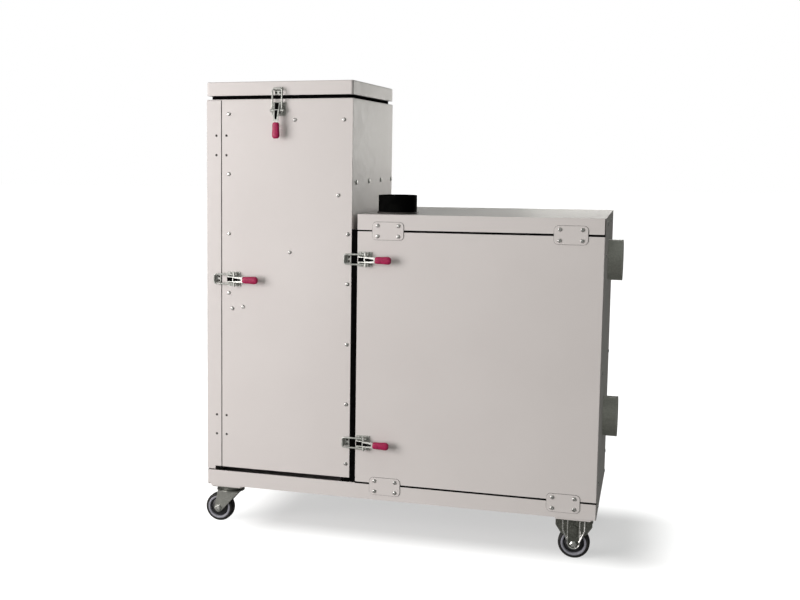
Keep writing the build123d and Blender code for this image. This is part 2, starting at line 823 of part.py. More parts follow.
# Burner: its body, the tube that fires into the drum, the blower's scroll and its feet
burner_x1 = tower_x1 - sheet_t
burner_x0 = burner_x1 - burner_body_l
blower_x0 = burner_x0 - blower_w
with BuildPart() as burner:
    with BuildSketch(Plane.YZ.offset(burner_x0)):
        with Locations((mid_y, burner_z)):
            add(clipped(burner_body_w, burner_body_h, 10))
    extrude(amount=burner_body_l)
    with BuildSketch(Plane.YZ.offset(blower_x0)):
        with Locations((mid_y, burner_z)):
            RegularPolygon(blower_r + blower_wall, wheel_sides)
    extrude(amount=blower_w)
    with BuildSketch(Plane.YZ.offset(blower_x0 + blower_wall)):
        with Locations((mid_y, burner_z)):
            RegularPolygon(blower_r, wheel_sides)
    extrude(amount=blower_w - blower_wall, mode=Mode.SUBTRACT)
    with BuildSketch(Plane.YZ.offset(blower_x0)):
        with Locations((mid_y, burner_z)):
            RegularPolygon(blower_inlet_r, wheel_sides)
    extrude(amount=blower_wall, mode=Mode.SUBTRACT)
    with BuildSketch(Plane.YZ.offset(burner_x0)):
        with Locations((mid_y, burner_z)):
            Circle(blower_shaft_r + shaft_gap)
    extrude(amount=blower_bore, mode=Mode.SUBTRACT)
    with BuildSketch(Plane.YZ.offset(burner_x1)):
        with Locations((mid_y, burner_z)):
            RegularPolygon(burner_r, wheel_sides)
            RegularPolygon(burner_r - burner_t, wheel_sides, mode=Mode.SUBTRACT)
    extrude(amount=box_x0 + burner_reach - burner_x1)
    with BuildSketch(Plane.XY.offset(tray_z + tray_t)):
        for side in (-1, 1):
            with Locations((burner_x0 + burner_body_l / 2, mid_y + side * (burner_body_w / 2 - 20))):
                Rectangle(burner_body_l - 30, 4)
    extrude(amount=burner_z - burner_body_h / 2 - tray_z - tray_t + 1)
burner.part.label = "burner"
export_step(burner.part, "parts/burner.step")

# Blower rotor: a backplate with forward blades and its hub
rotor_x0 = blower_x0 + blower_wall + 4
rotor_x1 = burner_x0 - 5
rotor_r = blower_r - 7
with BuildPart() as blower_rotor:
    with BuildSketch(Plane.YZ.offset(rotor_x1 - sheet_t)):
        with Locations((mid_y, burner_z)):
            RegularPolygon(rotor_r, wheel_sides)
    extrude(amount=sheet_t)
    with BuildSketch(Plane.YZ.offset(rotor_x0)):
        with Locations((mid_y, burner_z)):
            with PolarLocations(rotor_r - 8, 10):
                Rectangle(14, sheet_t, rotation=35)
    extrude(amount=rotor_x1 - rotor_x0)
    with BuildSketch(Plane.YZ.offset(rotor_x0 + 8)):
        with Locations((mid_y, burner_z)):
            RegularPolygon(2 * blower_shaft_r, pipe_sides)
    extrude(amount=rotor_x1 - rotor_x0 - 8)
    with BuildSketch(Plane.YZ.offset(rotor_x1)):
        with Locations((mid_y, burner_z)):
            Circle(blower_shaft_r)
    extrude(amount=burner_x0 - rotor_x1 + blower_bore - 2)
blower_rotor.part.label = "blower_rotor"
export_step(blower_rotor.part, "parts/blower_rotor.step")

# Auger tube: the inlet below the hopper, the tube and the drop pipe to the burner
burner_top = burner_z + burner_body_h / 2
with BuildPart() as auger_tube:
    with BuildSketch(Plane.YZ.offset(x0 + auger_x0)):
        with Locations((mid_y, auger_z)):
            RegularPolygon(auger_tube_r, wheel_sides)
    extrude(amount=auger_x1 - auger_x0)
    with BuildSketch(Plane.XY.offset(auger_z)):
        with Locations((bin_x0 + sheet_t + outlet_w / 2, mid_y)):
            Rectangle(outlet_w, outlet_len)
    extrude(amount=auger_drop)
    with BuildSketch(Plane.XY.offset(burner_top)):
        with Locations((x0 + drop_tube_x, mid_y)):
            RegularPolygon(drop_tube_r, guard_sides)
    extrude(amount=auger_z - burner_top)
    with BuildSketch(Plane.YZ.offset(x0 + auger_x0 + auger_tube_t)):
        with Locations((mid_y, auger_z)):
            RegularPolygon(auger_tube_r - auger_tube_t, wheel_sides)
    extrude(amount=auger_x1 - auger_x0 - 2 * auger_tube_t, mode=Mode.SUBTRACT)
    with BuildSketch(Plane.XY.offset(auger_z)):
        with Locations((bin_x0 + sheet_t + outlet_w / 2, mid_y)):
            Rectangle(outlet_w - 4, outlet_len - 4)
    extrude(amount=auger_drop, mode=Mode.SUBTRACT)
    with BuildSketch(Plane.XY.offset(burner_top)):
        with Locations((x0 + drop_tube_x, mid_y)):
            RegularPolygon(drop_tube_r - auger_tube_t, guard_sides)
    extrude(amount=auger_z - burner_top, mode=Mode.SUBTRACT)
    with BuildSketch(Plane.YZ.offset(x0 + auger_x0)):
        with Locations((mid_y, auger_z)):
            Circle(auger_shaft_r + shaft_gap)
    extrude(amount=auger_tube_t, mode=Mode.SUBTRACT)
auger_tube.part.label = "auger_tube"
export_step(auger_tube.part, "parts/auger_tube.step")

# Auger screw: a helical flight on its shaft
flight_x0 = x0 + auger_x0 + auger_tube_t + 4
flight_l = drop_tube_x - drop_tube_r - auger_x0 - auger_tube_t
with BuildPart() as auger_screw:
    with BuildSketch(Plane.YZ.offset(x0 + auger_x0 - 2)):
        with Locations((mid_y, auger_z)):
            RegularPolygon(auger_shaft_r, pipe_sides)
    extrude(amount=flight_l + 30)
    # The flight is closed up from flat facets, two to each side of every step
    rings = []
    for step in range(int(flight_l / flight_pitch * flight_steps) + 1):
        turn = 2 * pi / flight_steps * step
        x = flight_x0 + flight_pitch / flight_steps * step
        rings.append(
            [
                (x + shift * flight_t / 2, mid_y + r * cos(turn), auger_z + r * sin(turn))
                for r, shift in ((flight_foot_r, -1), (flight_r, -1), (flight_r, 1), (flight_foot_r, 1))
            ]
        )
    facets = [rings[0], rings[-1]]
    for ring, following in zip(rings, rings[1:]):
        for n in range(4):
            facets.append([ring[n - 1], ring[n], following[n]])
            facets.append([ring[n - 1], following[n], following[n - 1]])
    add(Solid(Shell([Face(Wire.make_polygon(corners)) for corners in facets])))
auger_screw.part.label = "auger_screw"
export_step(auger_screw.part, "parts/auger_screw.step")

# Gearmotor of the auger, bolted to the end of its tube
motor_x0 = x0 + 12.0
motor_l = auger_x0 - 12.0
with BuildPart() as auger_gearmotor:
    with BuildSketch(Plane.YZ.offset(motor_x0)):
        with Locations((mid_y, auger_z)):
            add(clipped(64, 84, 7))
    extrude(amount=motor_l)
    with BuildSketch(Plane.YZ.offset(motor_x0 + 4)):
        with Locations((mid_y, auger_z - 72)):
            add(clipped(58, 62, 4))
    extrude(amount=motor_l - 10)
    with BuildSketch(Plane.YZ.offset(motor_x0 + motor_l - 6)):
        with Locations((mid_y, auger_z)):
            Circle(auger_shaft_r + 1)
    extrude(amount=6, mode=Mode.SUBTRACT)
auger_gearmotor.part.label = "auger_gearmotor"
export_step(auger_gearmotor.part, "parts/auger_gearmotor.step")

# Circulation fan: mounting plate with its duct, guard rings and the motor on its arms
fan_axis = Plane(origin=(x0 + fan_x, y1 - sheet_t, fan_z), x_dir=(1, 0, 0), z_dir=(0, -1, 0))
with BuildPart() as fan_frame:
    with BuildSketch(fan_axis):
        add(clipped(fan_plate, fan_plate, 8))
        RegularPolygon(fan_duct_r, wheel_sides, mode=Mode.SUBTRACT)
    extrude(amount=sheet_t)
    with BuildSketch(fan_axis):
        RegularPolygon(fan_duct_r + sheet_t, wheel_sides)
        RegularPolygon(fan_duct_r, wheel_sides, mode=Mode.SUBTRACT)
    extrude(amount=fan_duct_d)
    with BuildSketch(fan_axis):
        for r in (26.0, 54.0, 82.0):
            RegularPolygon(r + 2, guard_sides)
            RegularPolygon(r - 2, guard_sides, mode=Mode.SUBTRACT)
        with PolarLocations(0, 4):
            with Locations((fan_duct_r / 2 + 11, 0)):
                Rectangle(fan_duct_r - 20, 5)
    extrude(amount=sheet_t)
    with BuildSketch(fan_axis.offset(fan_duct_d - 4)):
        RegularPolygon(fan_motor_r, guard_sides)
        with PolarLocations(0, 3):
            Rectangle(fan_duct_r + 1, 8, align=(Align.MIN, Align.CENTER))
    extrude(amount=4)
    with BuildSketch(fan_axis.offset(fan_duct_d - 4)):
        RegularPolygon(fan_motor_r, guard_sides)
    extrude(amount=fan_motor_d)
fan_frame.part.label = "fan_frame"
export_step(fan_frame.part, "parts/fan_frame.step")

# Fan rotor: a hub with pitched blades that widen toward their tips
with BuildPart() as blade:
    with BuildSketch(Plane.XY.rotated((blade_pitch, 0, 0))):
        with BuildLine():
            Polyline(
                (fan_hub_r - 6, -blade_root / 2),
                (fan_r, -blade_tip / 2),
                (fan_r, blade_tip / 2),
                (fan_hub_r - 6, blade_root / 2),
                close=True,
            )
        make_face()
    extrude(amount=blade_t / 2, both=True)
with BuildPart() as fan_rotor:
    with BuildSketch(fan_axis.offset(8)):
        RegularPolygon(fan_hub_r, guard_sides)
    extrude(amount=fan_hub_d)
    with BuildSketch(fan_axis.offset(8 + fan_hub_d)):
        Circle(fan_shaft_r)
    extrude(amount=fan_duct_d - 4 - 8 - fan_hub_d - touch)
    for n in range(fan_blades):
        turn = Rot(0, 0, 360 / fan_blades * n)
        add(fan_axis.offset(8 + fan_hub_d / 2).location * turn * blade.part)
fan_rotor.part.label = "fan_rotor"
export_step(fan_rotor.part, "parts/fan_rotor.step")

# Control box with the mains inlet in its rear face
control_mid = Plane(
    origin=(x0 + control_x + control_w / 2, y1 - sheet_t, control_z + control_h / 2),
    x_dir=(1, 0, 0),
    z_dir=(0, -1, 0),
)
with BuildPart() as control_box:
    with BuildSketch(control_mid):
        add(clipped(control_w, control_h, 5))
    extrude(amount=control_d)
    with BuildSketch(control_mid):
        add(clipped(inlet_w, inlet_h, 2))
    extrude(amount=-sheet_t)
    with BuildSketch(control_mid.offset(-sheet_t)):
        add(clipped(socket_w, socket_h, 4))
    extrude(amount=socket_d, mode=Mode.SUBTRACT)
    with BuildSketch(control_mid.offset(socket_d - sheet_t)):
        with Locations((-socket_pitch, -2), (0, 2), (socket_pitch, -2)):
            Rectangle(2, 4)
    extrude(amount=3 - socket_d)
control_box.part.label = "control_box"
export_step(control_box.part, "parts/control_box.step")

# Screws and rivets of the casing
tower_screws = [
    *[(64.0, z) for z in (1146.0, 984.0, 821.0, 658.0)],
    *[(399.0, z) for z in (205.0, 368.0, 531.0, 694.0, 827.0)],
    (74.0, 615.0),
    (105.0, 621.0),
    (238.0, 775.0),
    (372.0, 930.0),
    (251.0, 1129.0),
    (386.0, 1129.0),
]
joint_screws = [
    (x + i * joint_pitch_x / 2, z + j * joint_pitch_z / 2)
    for x, z in joint_spots
    for i in (-1, 1)
    for j in (-1, 1)
]
side_screws = [(y, z) for y in (60.0, casing_d - 60.0) for z in (135.0, 193.0, 483.0, 782.0)]
side_screws += [(117.0, 862.0), (311.0, 862.0)]
front_rivets = [(x, z) for x in (28.0, 57.0) for z in (1088.0, 1035.0, 314.0, 260.0)]
wall_rivets = [(y, 964.0) for y in (41.0, 188.0, 337.0, 475.0)]
with BuildPart() as casing_fasteners:
    with BuildSketch(Plane.XZ.offset(-y0)):
        with Locations(*[(x0 + x, z) for x, z in tower_screws]):
            RegularPolygon(screw_r, 6)
    extrude(amount=screw_h)
    with BuildSketch(Plane.XZ.offset(joint_plate_t - y0)):
        with Locations(*joint_screws):
            RegularPolygon(screw_r, 6)
    extrude(amount=screw_h)
    with BuildSketch(Plane.YZ.offset(x1)):
        with Locations(*[(y0 + y, z) for y, z in side_screws]):
            RegularPolygon(screw_r, 6)
    extrude(amount=screw_h)
    with BuildSketch(Plane.XZ.offset(-y0)):
        with Locations(*[(x0 + x, z) for x, z in front_rivets if x > post_w]):
            RegularPolygon(rivet_r, small_sides)
    extrude(amount=rivet_h)
    with BuildSketch(Plane.YZ.offset(tower_x1)):
        with Locations(*[(y0 + y, z) for y, z in wall_rivets]):
            RegularPolygon(rivet_r, small_sides)
    extrude(amount=rivet_h)
casing_fasteners.part.label = "casing_fasteners"
export_step(casing_fasteners.part, "parts/casing_fasteners.step")

with BuildPart() as door_rivets:
    with BuildSketch(Plane.XZ.offset(-y0)):
        with Locations(*[(x0 + x, z) for x, z in front_rivets if x < post_w]):
            RegularPolygon(rivet_r, small_sides)
    extrude(amount=rivet_h)
door_rivets.part.label = "door_rivets"
export_step(door_rivets.part, "parts/door_rivets.step")

# Castor wheels: a hub with a recessed web and a rubber tyre
rim_r = wheel_r - tread_t
boss_w = fork_gap - 2 * end_play
with BuildPart() as castor_hub:
    with BuildSketch(Plane.XZ):
        RegularPolygon(rim_r, wheel_sides)
    extrude(amount=tyre_w / 2, both=True)
    for side in (-1, 1):
        with BuildSketch(Plane.XZ.offset(side * web_t / 2)):
            RegularPolygon(rim_r - rim_t, pipe_sides)
        extrude(amount=side * (tyre_w - web_t) / 2, mode=Mode.SUBTRACT)
    with BuildSketch(Plane.XZ):
        RegularPolygon(boss_r, pipe_sides)
    extrude(amount=boss_w / 2, both=True)
    with BuildSketch(Plane.XZ):
        RegularPolygon(axle_r + running, pipe_sides, major_radius=False)
    extrude(amount=boss_w / 2, both=True, mode=Mode.SUBTRACT)

with BuildPart() as castor_tyre:
    with BuildSketch(Plane.XZ):
        RegularPolygon(wheel_r, wheel_sides)
    extrude(amount=tyre_w / 2, both=True)
    chamfer(castor_tyre.edges().filter_by(GeomType.LINE).filter_by(Axis.Y, reverse=True), tyre_edge)
    with BuildSketch(Plane.XZ):
        RegularPolygon(rim_r, wheel_sides)
    extrude(amount=tyre_w / 2, both=True, mode=Mode.SUBTRACT)

# Swivel castor: mounting plate with the ball race and kingpin, and the fork that turns below it
crown_z = castor_h - castor_plate_t - race_h - end_play - crown_t
with BuildPart() as swivel_plate:
    with BuildSketch(Plane.XY.offset(castor_h - castor_plate_t)):
        add(clipped(castor_plate_l, castor_plate_w, castor_plate_clip))
    extrude(amount=castor_plate_t)
    with BuildSketch(Plane.XY.offset(castor_h - castor_plate_t)):
        RegularPolygon(race_r + 3, wheel_sides)
    extrude(amount=-race_h, taper=12)
    with BuildSketch(Plane.XY.offset(crown_z - 4)):
        Circle(kingpin_r)
    extrude(amount=castor_h - castor_plate_t - crown_z + 4)
    with BuildSketch(Plane.XY.offset(crown_z - end_play)):
        RegularPolygon(kingpin_head_r, 6)
    extrude(amount=-4)


def fork_legs(tip_x, top_z, top_w):
    # Outline of a leg, from the crown down to the axle's boss
    with BuildSketch() as leg:
        with Locations((tip_x, wheel_r)):
            RegularPolygon(fork_tip_r, wheel_sides)
        with Locations((0, top_z)):
            Rectangle(top_w, 1, align=(Align.CENTER, Align.MAX))
        make_hull()
    return leg.sketch


with BuildPart() as swivel_fork:
    with BuildSketch(Plane.XY.offset(crown_z)):
        RegularPolygon(crown_r, wheel_sides)
        RegularPolygon(kingpin_r + running, pipe_sides, major_radius=False, mode=Mode.SUBTRACT)
    extrude(amount=crown_t)
    with BuildSketch(Plane.XZ.offset(fork_gap / 2)):
        add(fork_legs(-swivel_offset, crown_z + 1, 2 * (crown_r - 7.5)))
    extrude(amount=fork_t)
    mirror(about=Plane.XZ)
    with BuildSketch(Plane.XZ.offset(-fork_gap / 2 - fork_t)):
        with Locations((-swivel_offset, wheel_r)):
            Circle(axle_r)
    extrude(amount=fork_gap + 2 * fork_t)
    with BuildSketch(Plane.XZ.offset(fork_gap / 2 + fork_t)):
        with Locations((-swivel_offset, wheel_r)):
            RegularPolygon(axle_head_r, 6)
    extrude(amount=4)
    mirror(about=Plane.XZ)

# Rigid castor: plate, fork and axle
with BuildPart() as rigid_fork:
    with BuildSketch(Plane.XY.offset(castor_h - castor_plate_t)):
        add(clipped(castor_plate_l, castor_plate_w, castor_plate_clip))
    extrude(amount=castor_plate_t)
    with BuildSketch(Plane.XZ.offset(fork_gap / 2)):
        add(fork_legs(0, castor_h - castor_plate_t, castor_plate_l - 2))
    extrude(amount=fork_t)
    with BuildSketch(Plane.XZ.offset(fork_gap / 2 + fork_t)):
        with Locations((0, (castor_h + wheel_r) / 2)):
            add(clipped(rib_w, castor_h - wheel_r - 36, 5))
    extrude(amount=2, taper=30)
    mirror(about=Plane.XZ)
    with BuildSketch(Plane.XZ.offset(-fork_gap / 2 - fork_t)):
        with Locations((0, wheel_r)):
            Circle(axle_r)
    extrude(amount=fork_gap + 2 * fork_t)
    with BuildSketch(Plane.XZ.offset(fork_gap / 2 + fork_t)):
        with Locations((0, wheel_r)):
            RegularPolygon(axle_head_r, 6)
    extrude(amount=4)
    mirror(about=Plane.XZ)

with BuildPart() as swivel_castor_plates:
    add([Pos(castor_x[0], y, 0) * swivel_plate.part for y in castor_y])
swivel_castor_plates.part.label = "swivel_castor_plates"
export_step(swivel_castor_plates.part, "parts/swivel_castor_plates.step")

with BuildPart() as rigid_castor_forks:
    add([Pos(castor_x[1], y, 0) * rigid_fork.part for y in castor_y])
rigid_castor_forks.part.label = "rigid_castor_forks"
export_step(rigid_castor_forks.part, "parts/rigid_castor_forks.step")

for end, y in zip(("front", "rear"), castor_y):
    fork = Pos(castor_x[0], y, 0) * swivel_fork.part
    fork.label = f"{end}_swivel_fork"
    export_step(fork, f"parts/{fork.label}.step")
    for side, x in (("left", castor_x[0] - swivel_offset), ("right", castor_x[1])):
        for piece, model in (("hub", castor_hub), ("tyre", castor_tyre)):
            copy = Pos(x, y, wheel_r) * model.part
            copy.label = f"{end}_{side}_{piece}"
            export_step(copy, f"parts/{copy.label}.step")

# Toggle latch base: plate, two cheeks and the pivot pin
with BuildPart() as latch_base:
    with BuildSketch():
        with Locations((latch_base_front, 0)):
            Rectangle(latch_base_l, latch_base_w, align=(Align.MAX, Align.CENTER))
    extrude(amount=latch_sheet)
    with BuildSketch(Plane.XZ.offset(cheek_gap / 2)):
        with Locations((0, pivot_h)):
            RegularPolygon(cheek_r, small_sides)
        with Locations((-3, 0)):
            Rectangle(18, 1, align=(Align.CENTER, Align.MIN))
        make_hull()
    extrude(amount=cheek_t)
    mirror(about=Plane.XZ)
    with BuildSketch(Plane.XZ.offset(-cheek_gap / 2 - cheek_t)):
        with Locations((0, pivot_h)):
            Circle(pivot_r)
    extrude(amount=cheek_gap + 2 * cheek_t)

# Lever: a channel between the cheeks, the two pins that carry the bail, and the tang of the grip
pin_h = pivot_h + crank_rise
with BuildPart() as latch_lever:
    with BuildSketch(Plane.XZ.offset(lever_w / 2 - lever_t)):
        with Locations((0, pivot_h), (-crank, pin_h)):
            RegularPolygon(cheek_r, small_sides)
        with Locations((-crank - 14, grip_h - 3)):
            RegularPolygon(2, 4)
        make_hull()
    extrude(amount=lever_t)
    mirror(about=Plane.XZ)
    for side in (-1, 1):
        with BuildSketch(Plane.XZ.offset(side * lever_w / 2)):
            with Locations((-crank, pin_h)):
                Circle(cross_pin_r)
        extrude(amount=side * (cross_pin_l - lever_w) / 2)
    with BuildSketch(Plane.XZ.offset(-lever_w / 2)):
        add(
            folded(
                [
                    (-crank + 2, pin_h + cheek_r),
                    (-crank - 14, grip_h - 1),
                    (-grip_x, grip_h + lever_t / 2),
                    (-grip_x - 2, grip_h + lever_t / 2),
                ],
                lever_t,
            )
        )
    extrude(amount=lever_w)
    with BuildSketch(Plane.XZ.offset(-tang_w / 2)):
        with Locations((-grip_x, grip_h)):
            Rectangle(grip_l - 6, lever_t, align=(Align.MAX, Align.CENTER))
    extrude(amount=tang_w)
    with BuildSketch(Plane.XZ.offset(-lever_w)):
        with Locations((0, pivot_h)):
            RegularPolygon(pivot_r + running, small_sides, major_radius=False)
    extrude(amount=2 * lever_w, mode=Mode.SUBTRACT)

with BuildPart() as latch_grip:
    with BuildSketch(Plane.XY.offset(grip_h - grip_t / 2)):
        with Locations((-grip_x - grip_l / 2, 0)):
            add(clipped(grip_l, grip_w, 5))
    extrude(amount=grip_t)
    chamfer(latch_grip.edges().group_by(Axis.Z)[0], grip_edge)
    chamfer(latch_grip.edges().group_by(Axis.Z)[-1], grip_edge)
    add(latch_lever.part, mode=Mode.SUBTRACT)

# Bail: a wire loop on the lever's pins
crown_x = bail_reach - crank
leg_y = bail_w / 2
with BuildPart() as latch_bail:
    with BuildLine(Plane.XY.offset(pin_h)) as loop:
        Polyline(
            (-crank + bail_eye_r - 1, leg_y),
            (crown_x - bail_bend, leg_y),
            (crown_x, leg_y - bail_bend),
            (crown_x, bail_bend - leg_y),
            (crown_x - bail_bend, -leg_y),
            (-crank + bail_eye_r - 1, -leg_y),
        )
    with BuildSketch(Plane(origin=loop.line @ 0, z_dir=loop.line % 0)):
        RegularPolygon(bail_wire_r, small_sides, rotation=22.5)
    sweep(path=loop.line, transition=Transition.RIGHT)
    with BuildSketch(Plane.XZ.offset(leg_y - bail_wire_r)):
        with Locations((-crank, pin_h)):
            RegularPolygon(bail_eye_r, small_sides)
            RegularPolygon(cross_pin_r + running, small_sides, major_radius=False, mode=Mode.SUBTRACT)
    extrude(amount=2 * bail_wire_r)
    mirror(about=Plane.XZ)

# Catch: a plate with the lip that the loop reaches over
with BuildPart() as latch_catch:
    with BuildSketch(Plane.XZ.offset(-catch_w / 2)):
        with BuildLine():
            Polyline(
                (catch_x, 0),
                (catch_x + catch_l, 0),
                (catch_x + catch_l, latch_sheet),
                (catch_lip_x + 2.6, latch_sheet),
                (catch_lip_x + 5.4, catch_lip_h),
                (catch_lip_x + 2.4, catch_lip_h),
                (catch_lip_x - 0.6, latch_sheet),
                (catch_x, latch_sheet),
                close=True,
            )
        make_face()
    extrude(amount=catch_w)

latch_places = {
    "lid": Plane(origin=(x0 + 205.0, y0, tower_top - 15), x_dir=(0, 0, 1), z_dir=(0, -1, 0)),
    "door": Plane(origin=(x0 + 67.5, y0, 697.0), x_dir=(-1, 0, 0), z_dir=(0, -1, 0)),
    "upper": Plane(origin=(x0 + 435.0, y0, 762.0), x_dir=(-1, 0, 0), z_dir=(0, -1, 0)),
    "lower": Plane(origin=(x0 + 435.0, y0, 267.0), x_dir=(-1, 0, 0), z_dir=(0, -1, 0)),
}
with BuildPart() as latch_bases:
    add([place.location * latch_base.part for place in latch_places.values()])
latch_bases.part.label = "latch_bases"
export_step(latch_bases.part, "parts/latch_bases.step")

with BuildPart() as tower_catches:
    add([latch_places[name].location * latch_catch.part for name in ("upper", "lower")])
tower_catches.part.label = "tower_catches"
export_step(tower_catches.part, "parts/tower_catches.step")

for name in ("lid", "door"):
    catch = latch_places[name].location * latch_catch.part
    catch.label = f"{name}_catch"
    export_step(catch, f"parts/{catch.label}.step")

for name, place in latch_places.items():
    for piece, model in (("lever", latch_lever), ("grip", latch_grip), ("bail", latch_bail)):
        copy = place.location * model.part
        copy.label = f"{name}_latch_{piece}"
        export_step(copy, f"parts/{copy.label}.step")
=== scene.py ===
import json
from math import cos, pi, radians, sin

import bmesh
import bpy
from mathutils import Matrix, Vector

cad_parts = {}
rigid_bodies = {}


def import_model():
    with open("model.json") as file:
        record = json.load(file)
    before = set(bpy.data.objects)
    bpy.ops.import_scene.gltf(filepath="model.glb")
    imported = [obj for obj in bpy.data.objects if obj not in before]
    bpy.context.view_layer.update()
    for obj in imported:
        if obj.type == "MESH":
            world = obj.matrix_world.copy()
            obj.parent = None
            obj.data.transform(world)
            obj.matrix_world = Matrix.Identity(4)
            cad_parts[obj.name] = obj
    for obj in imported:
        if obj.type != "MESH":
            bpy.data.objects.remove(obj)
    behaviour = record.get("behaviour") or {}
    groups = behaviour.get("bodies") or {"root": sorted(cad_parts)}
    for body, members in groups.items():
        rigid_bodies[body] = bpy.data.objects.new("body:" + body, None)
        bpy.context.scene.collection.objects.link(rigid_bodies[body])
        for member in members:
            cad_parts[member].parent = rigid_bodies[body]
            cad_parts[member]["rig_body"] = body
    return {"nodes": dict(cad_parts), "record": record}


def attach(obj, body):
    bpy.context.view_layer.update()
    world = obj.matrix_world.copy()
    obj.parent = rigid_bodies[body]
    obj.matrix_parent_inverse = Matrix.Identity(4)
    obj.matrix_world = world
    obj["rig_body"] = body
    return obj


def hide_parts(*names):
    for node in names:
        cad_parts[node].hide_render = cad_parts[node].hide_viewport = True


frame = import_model()
nodes = frame["nodes"]
bodyOf = {name: nodes[name]["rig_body"] for name in nodes}
slotOf = {part["node"]: part["material_slot"] for part in frame["record"]["subparts"]}
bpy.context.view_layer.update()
print("frame loaded,", len(nodes), "nodes")

# Places on the casing, in metres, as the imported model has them
leftX = -0.538  # outer face of the side door
frontY = -0.2354  # face of the front plate and front panel
rightX = 0.517  # outer face of the exchanger's right wall
towerX = -0.128  # outer face of the tower's right wall
midY = 0.0096  # middle of the casing's depth
boxTop = 0.881  # top of the exchanger's cover
toFront = (0, -1, 0)
toRight = (1, 0, 0)

# Finishes. Each mixes two tones by a broad noise, and takes its roughness and bump from finer ones.
finishes = {
    "casing_paint": {
        "tones": ((0.655, 0.618, 0.602), (0.685, 0.648, 0.632)), "toneScale": 2.6,
        "rough": (0.44, 0.54), "roughScale": 60.0, "metal": 0.0,
        "bumpScale": 850.0, "bump": 0.08,
    },
    "zinc_steel": {
        "tones": ((0.36, 0.36, 0.35), (0.66, 0.66, 0.64)), "toneScale": 130.0,
        "rough": (0.24, 0.42), "roughScale": 260.0, "metal": 1.0,
        "bumpScale": 900.0, "bump": 0.06,
    },
    "latch_zinc": {
        "tones": ((0.36, 0.37, 0.345), (0.56, 0.57, 0.54)), "toneScale": 210.0,
        "rough": (0.38, 0.54), "roughScale": 260.0, "metal": 0.6,
        "bumpScale": 900.0, "bump": 0.06,
    },
    "castor_zinc": {
        "tones": ((0.20, 0.205, 0.185), (0.36, 0.365, 0.34)), "toneScale": 420.0,
        "rough": (0.3, 0.46), "roughScale": 260.0, "metal": 0.85,
        "bumpScale": 600.0, "bump": 0.07,
    },
    # A darker copy of castor_zinc: painted shade on the rigid forks and their wings
    "castor_zinc_painted_shade": {
        "tones": ((0.085, 0.088, 0.074), (0.17, 0.175, 0.155)), "toneScale": 380.0,
        "rough": (0.36, 0.52), "roughScale": 260.0, "metal": 0.8,
        "bumpScale": 600.0, "bump": 0.08,
    },
    "collar_steel": {
        "tones": ((0.45, 0.455, 0.415), (0.53, 0.535, 0.49)), "toneScale": 240.0,
        "rough": (0.42, 0.55), "roughScale": 140.0, "metal": 0.35,
        "bumpScale": 400.0, "bump": 0.05,
    },
    "flue_black": {
        "tones": ((0.0012, 0.0012, 0.0012), (0.003, 0.003, 0.0028)), "toneScale": 40.0,
        "rough": (0.7, 0.85), "roughScale": 150.0, "metal": 0.0, "gloss": 0.02,
        "bumpScale": 900.0, "bump": 0.1,
    },
    "fire_steel": {
        "tones": ((0.05, 0.047, 0.045), (0.10, 0.09, 0.085)), "toneScale": 14.0,
        "rough": (0.5, 0.7), "roughScale": 80.0, "metal": 0.6,
        "bumpScale": 300.0, "bump": 0.15,
    },
    "motor_metal": {
        "tones": ((0.30, 0.31, 0.32), (0.40, 0.41, 0.42)), "toneScale": 30.0,
        "rough": (0.4, 0.55), "roughScale": 120.0, "metal": 0.8,
        "bumpScale": 500.0, "bump": 0.1,
    },
    "rim_grey": {
        "tones": ((0.24, 0.24, 0.275), (0.31, 0.31, 0.35)), "toneScale": 60.0,
        "rough": (0.36, 0.5), "roughScale": 150.0, "metal": 0.0,
        "bumpScale": 600.0, "bump": 0.05,
    },
    "black_rubber": {
        "tones": ((0.010, 0.010, 0.010), (0.022, 0.021, 0.020)), "toneScale": 45.0,
        "rough": (0.5, 0.72), "roughScale": 160.0, "metal": 0.0, "gloss": 0.3,
        "bumpScale": 900.0, "bump": 0.08,
    },
    # Near-black: the gaskets' own black, deepened as painted shade, and the painted shade in the
    # seams, round the joint plates and in the lever channels
    "black_seal_and_painted_shade": {
        "tones": ((0.0015, 0.0015, 0.0015), (0.004, 0.004, 0.004)), "toneScale": 90.0,
        "rough": (0.8, 0.95), "roughScale": 200.0, "metal": 0.0, "gloss": 0.0,
        "bumpScale": 700.0, "bump": 0.2,
    },
    # Near-black, so that the rivet heads read as dark dots
    "dark_rivet_tone": {
        "tones": ((0.035, 0.033, 0.030), (0.075, 0.072, 0.066)), "toneScale": 90.0,
        "rough": (0.4, 0.55), "roughScale": 200.0, "metal": 0.7,
        "bumpScale": 700.0, "bump": 0.1,
    },
    # Bright zinc of the axle heads and nuts; on the rigid forks' ribs it is a painted highlight
    "bright_zinc_and_painted_highlight": {
        "tones": ((0.55, 0.55, 0.53), (0.80, 0.80, 0.78)), "toneScale": 150.0,
        "rough": (0.2, 0.34), "roughScale": 260.0, "metal": 1.0,
        "bumpScale": 900.0, "bump": 0.06,
    },
    "black_plastic": {
        "tones": ((0.010, 0.010, 0.011), (0.020, 0.020, 0.022)), "toneScale": 40.0,
        "rough": (0.4, 0.5), "roughScale": 150.0, "metal": 0.0,
        "bumpScale": 800.0, "bump": 0.06,
    },
    "red_vinyl": {
        "tones": ((0.27, 0.008, 0.052), (0.43, 0.016, 0.092)), "toneScale": 260.0,
        "rough": (0.36, 0.5), "roughScale": 200.0, "metal": 0.0, "gloss": 0.3,
        "bumpScale": 240.0, "bump": 0.25,
    },
}
noiseUse = {"band": (0.35, 0.65), "toneDetail": 4, "roughDetail": 3, "bumpDetail": 2}
plainGloss = 0.5  # for a finish that states none
bumpHeight = 0.0004  # metres


def addNode(tree, kind, values):
    node = tree.nodes.new(kind)
    for socket, value in values.items():
        node.inputs[socket].default_value = value
    return node


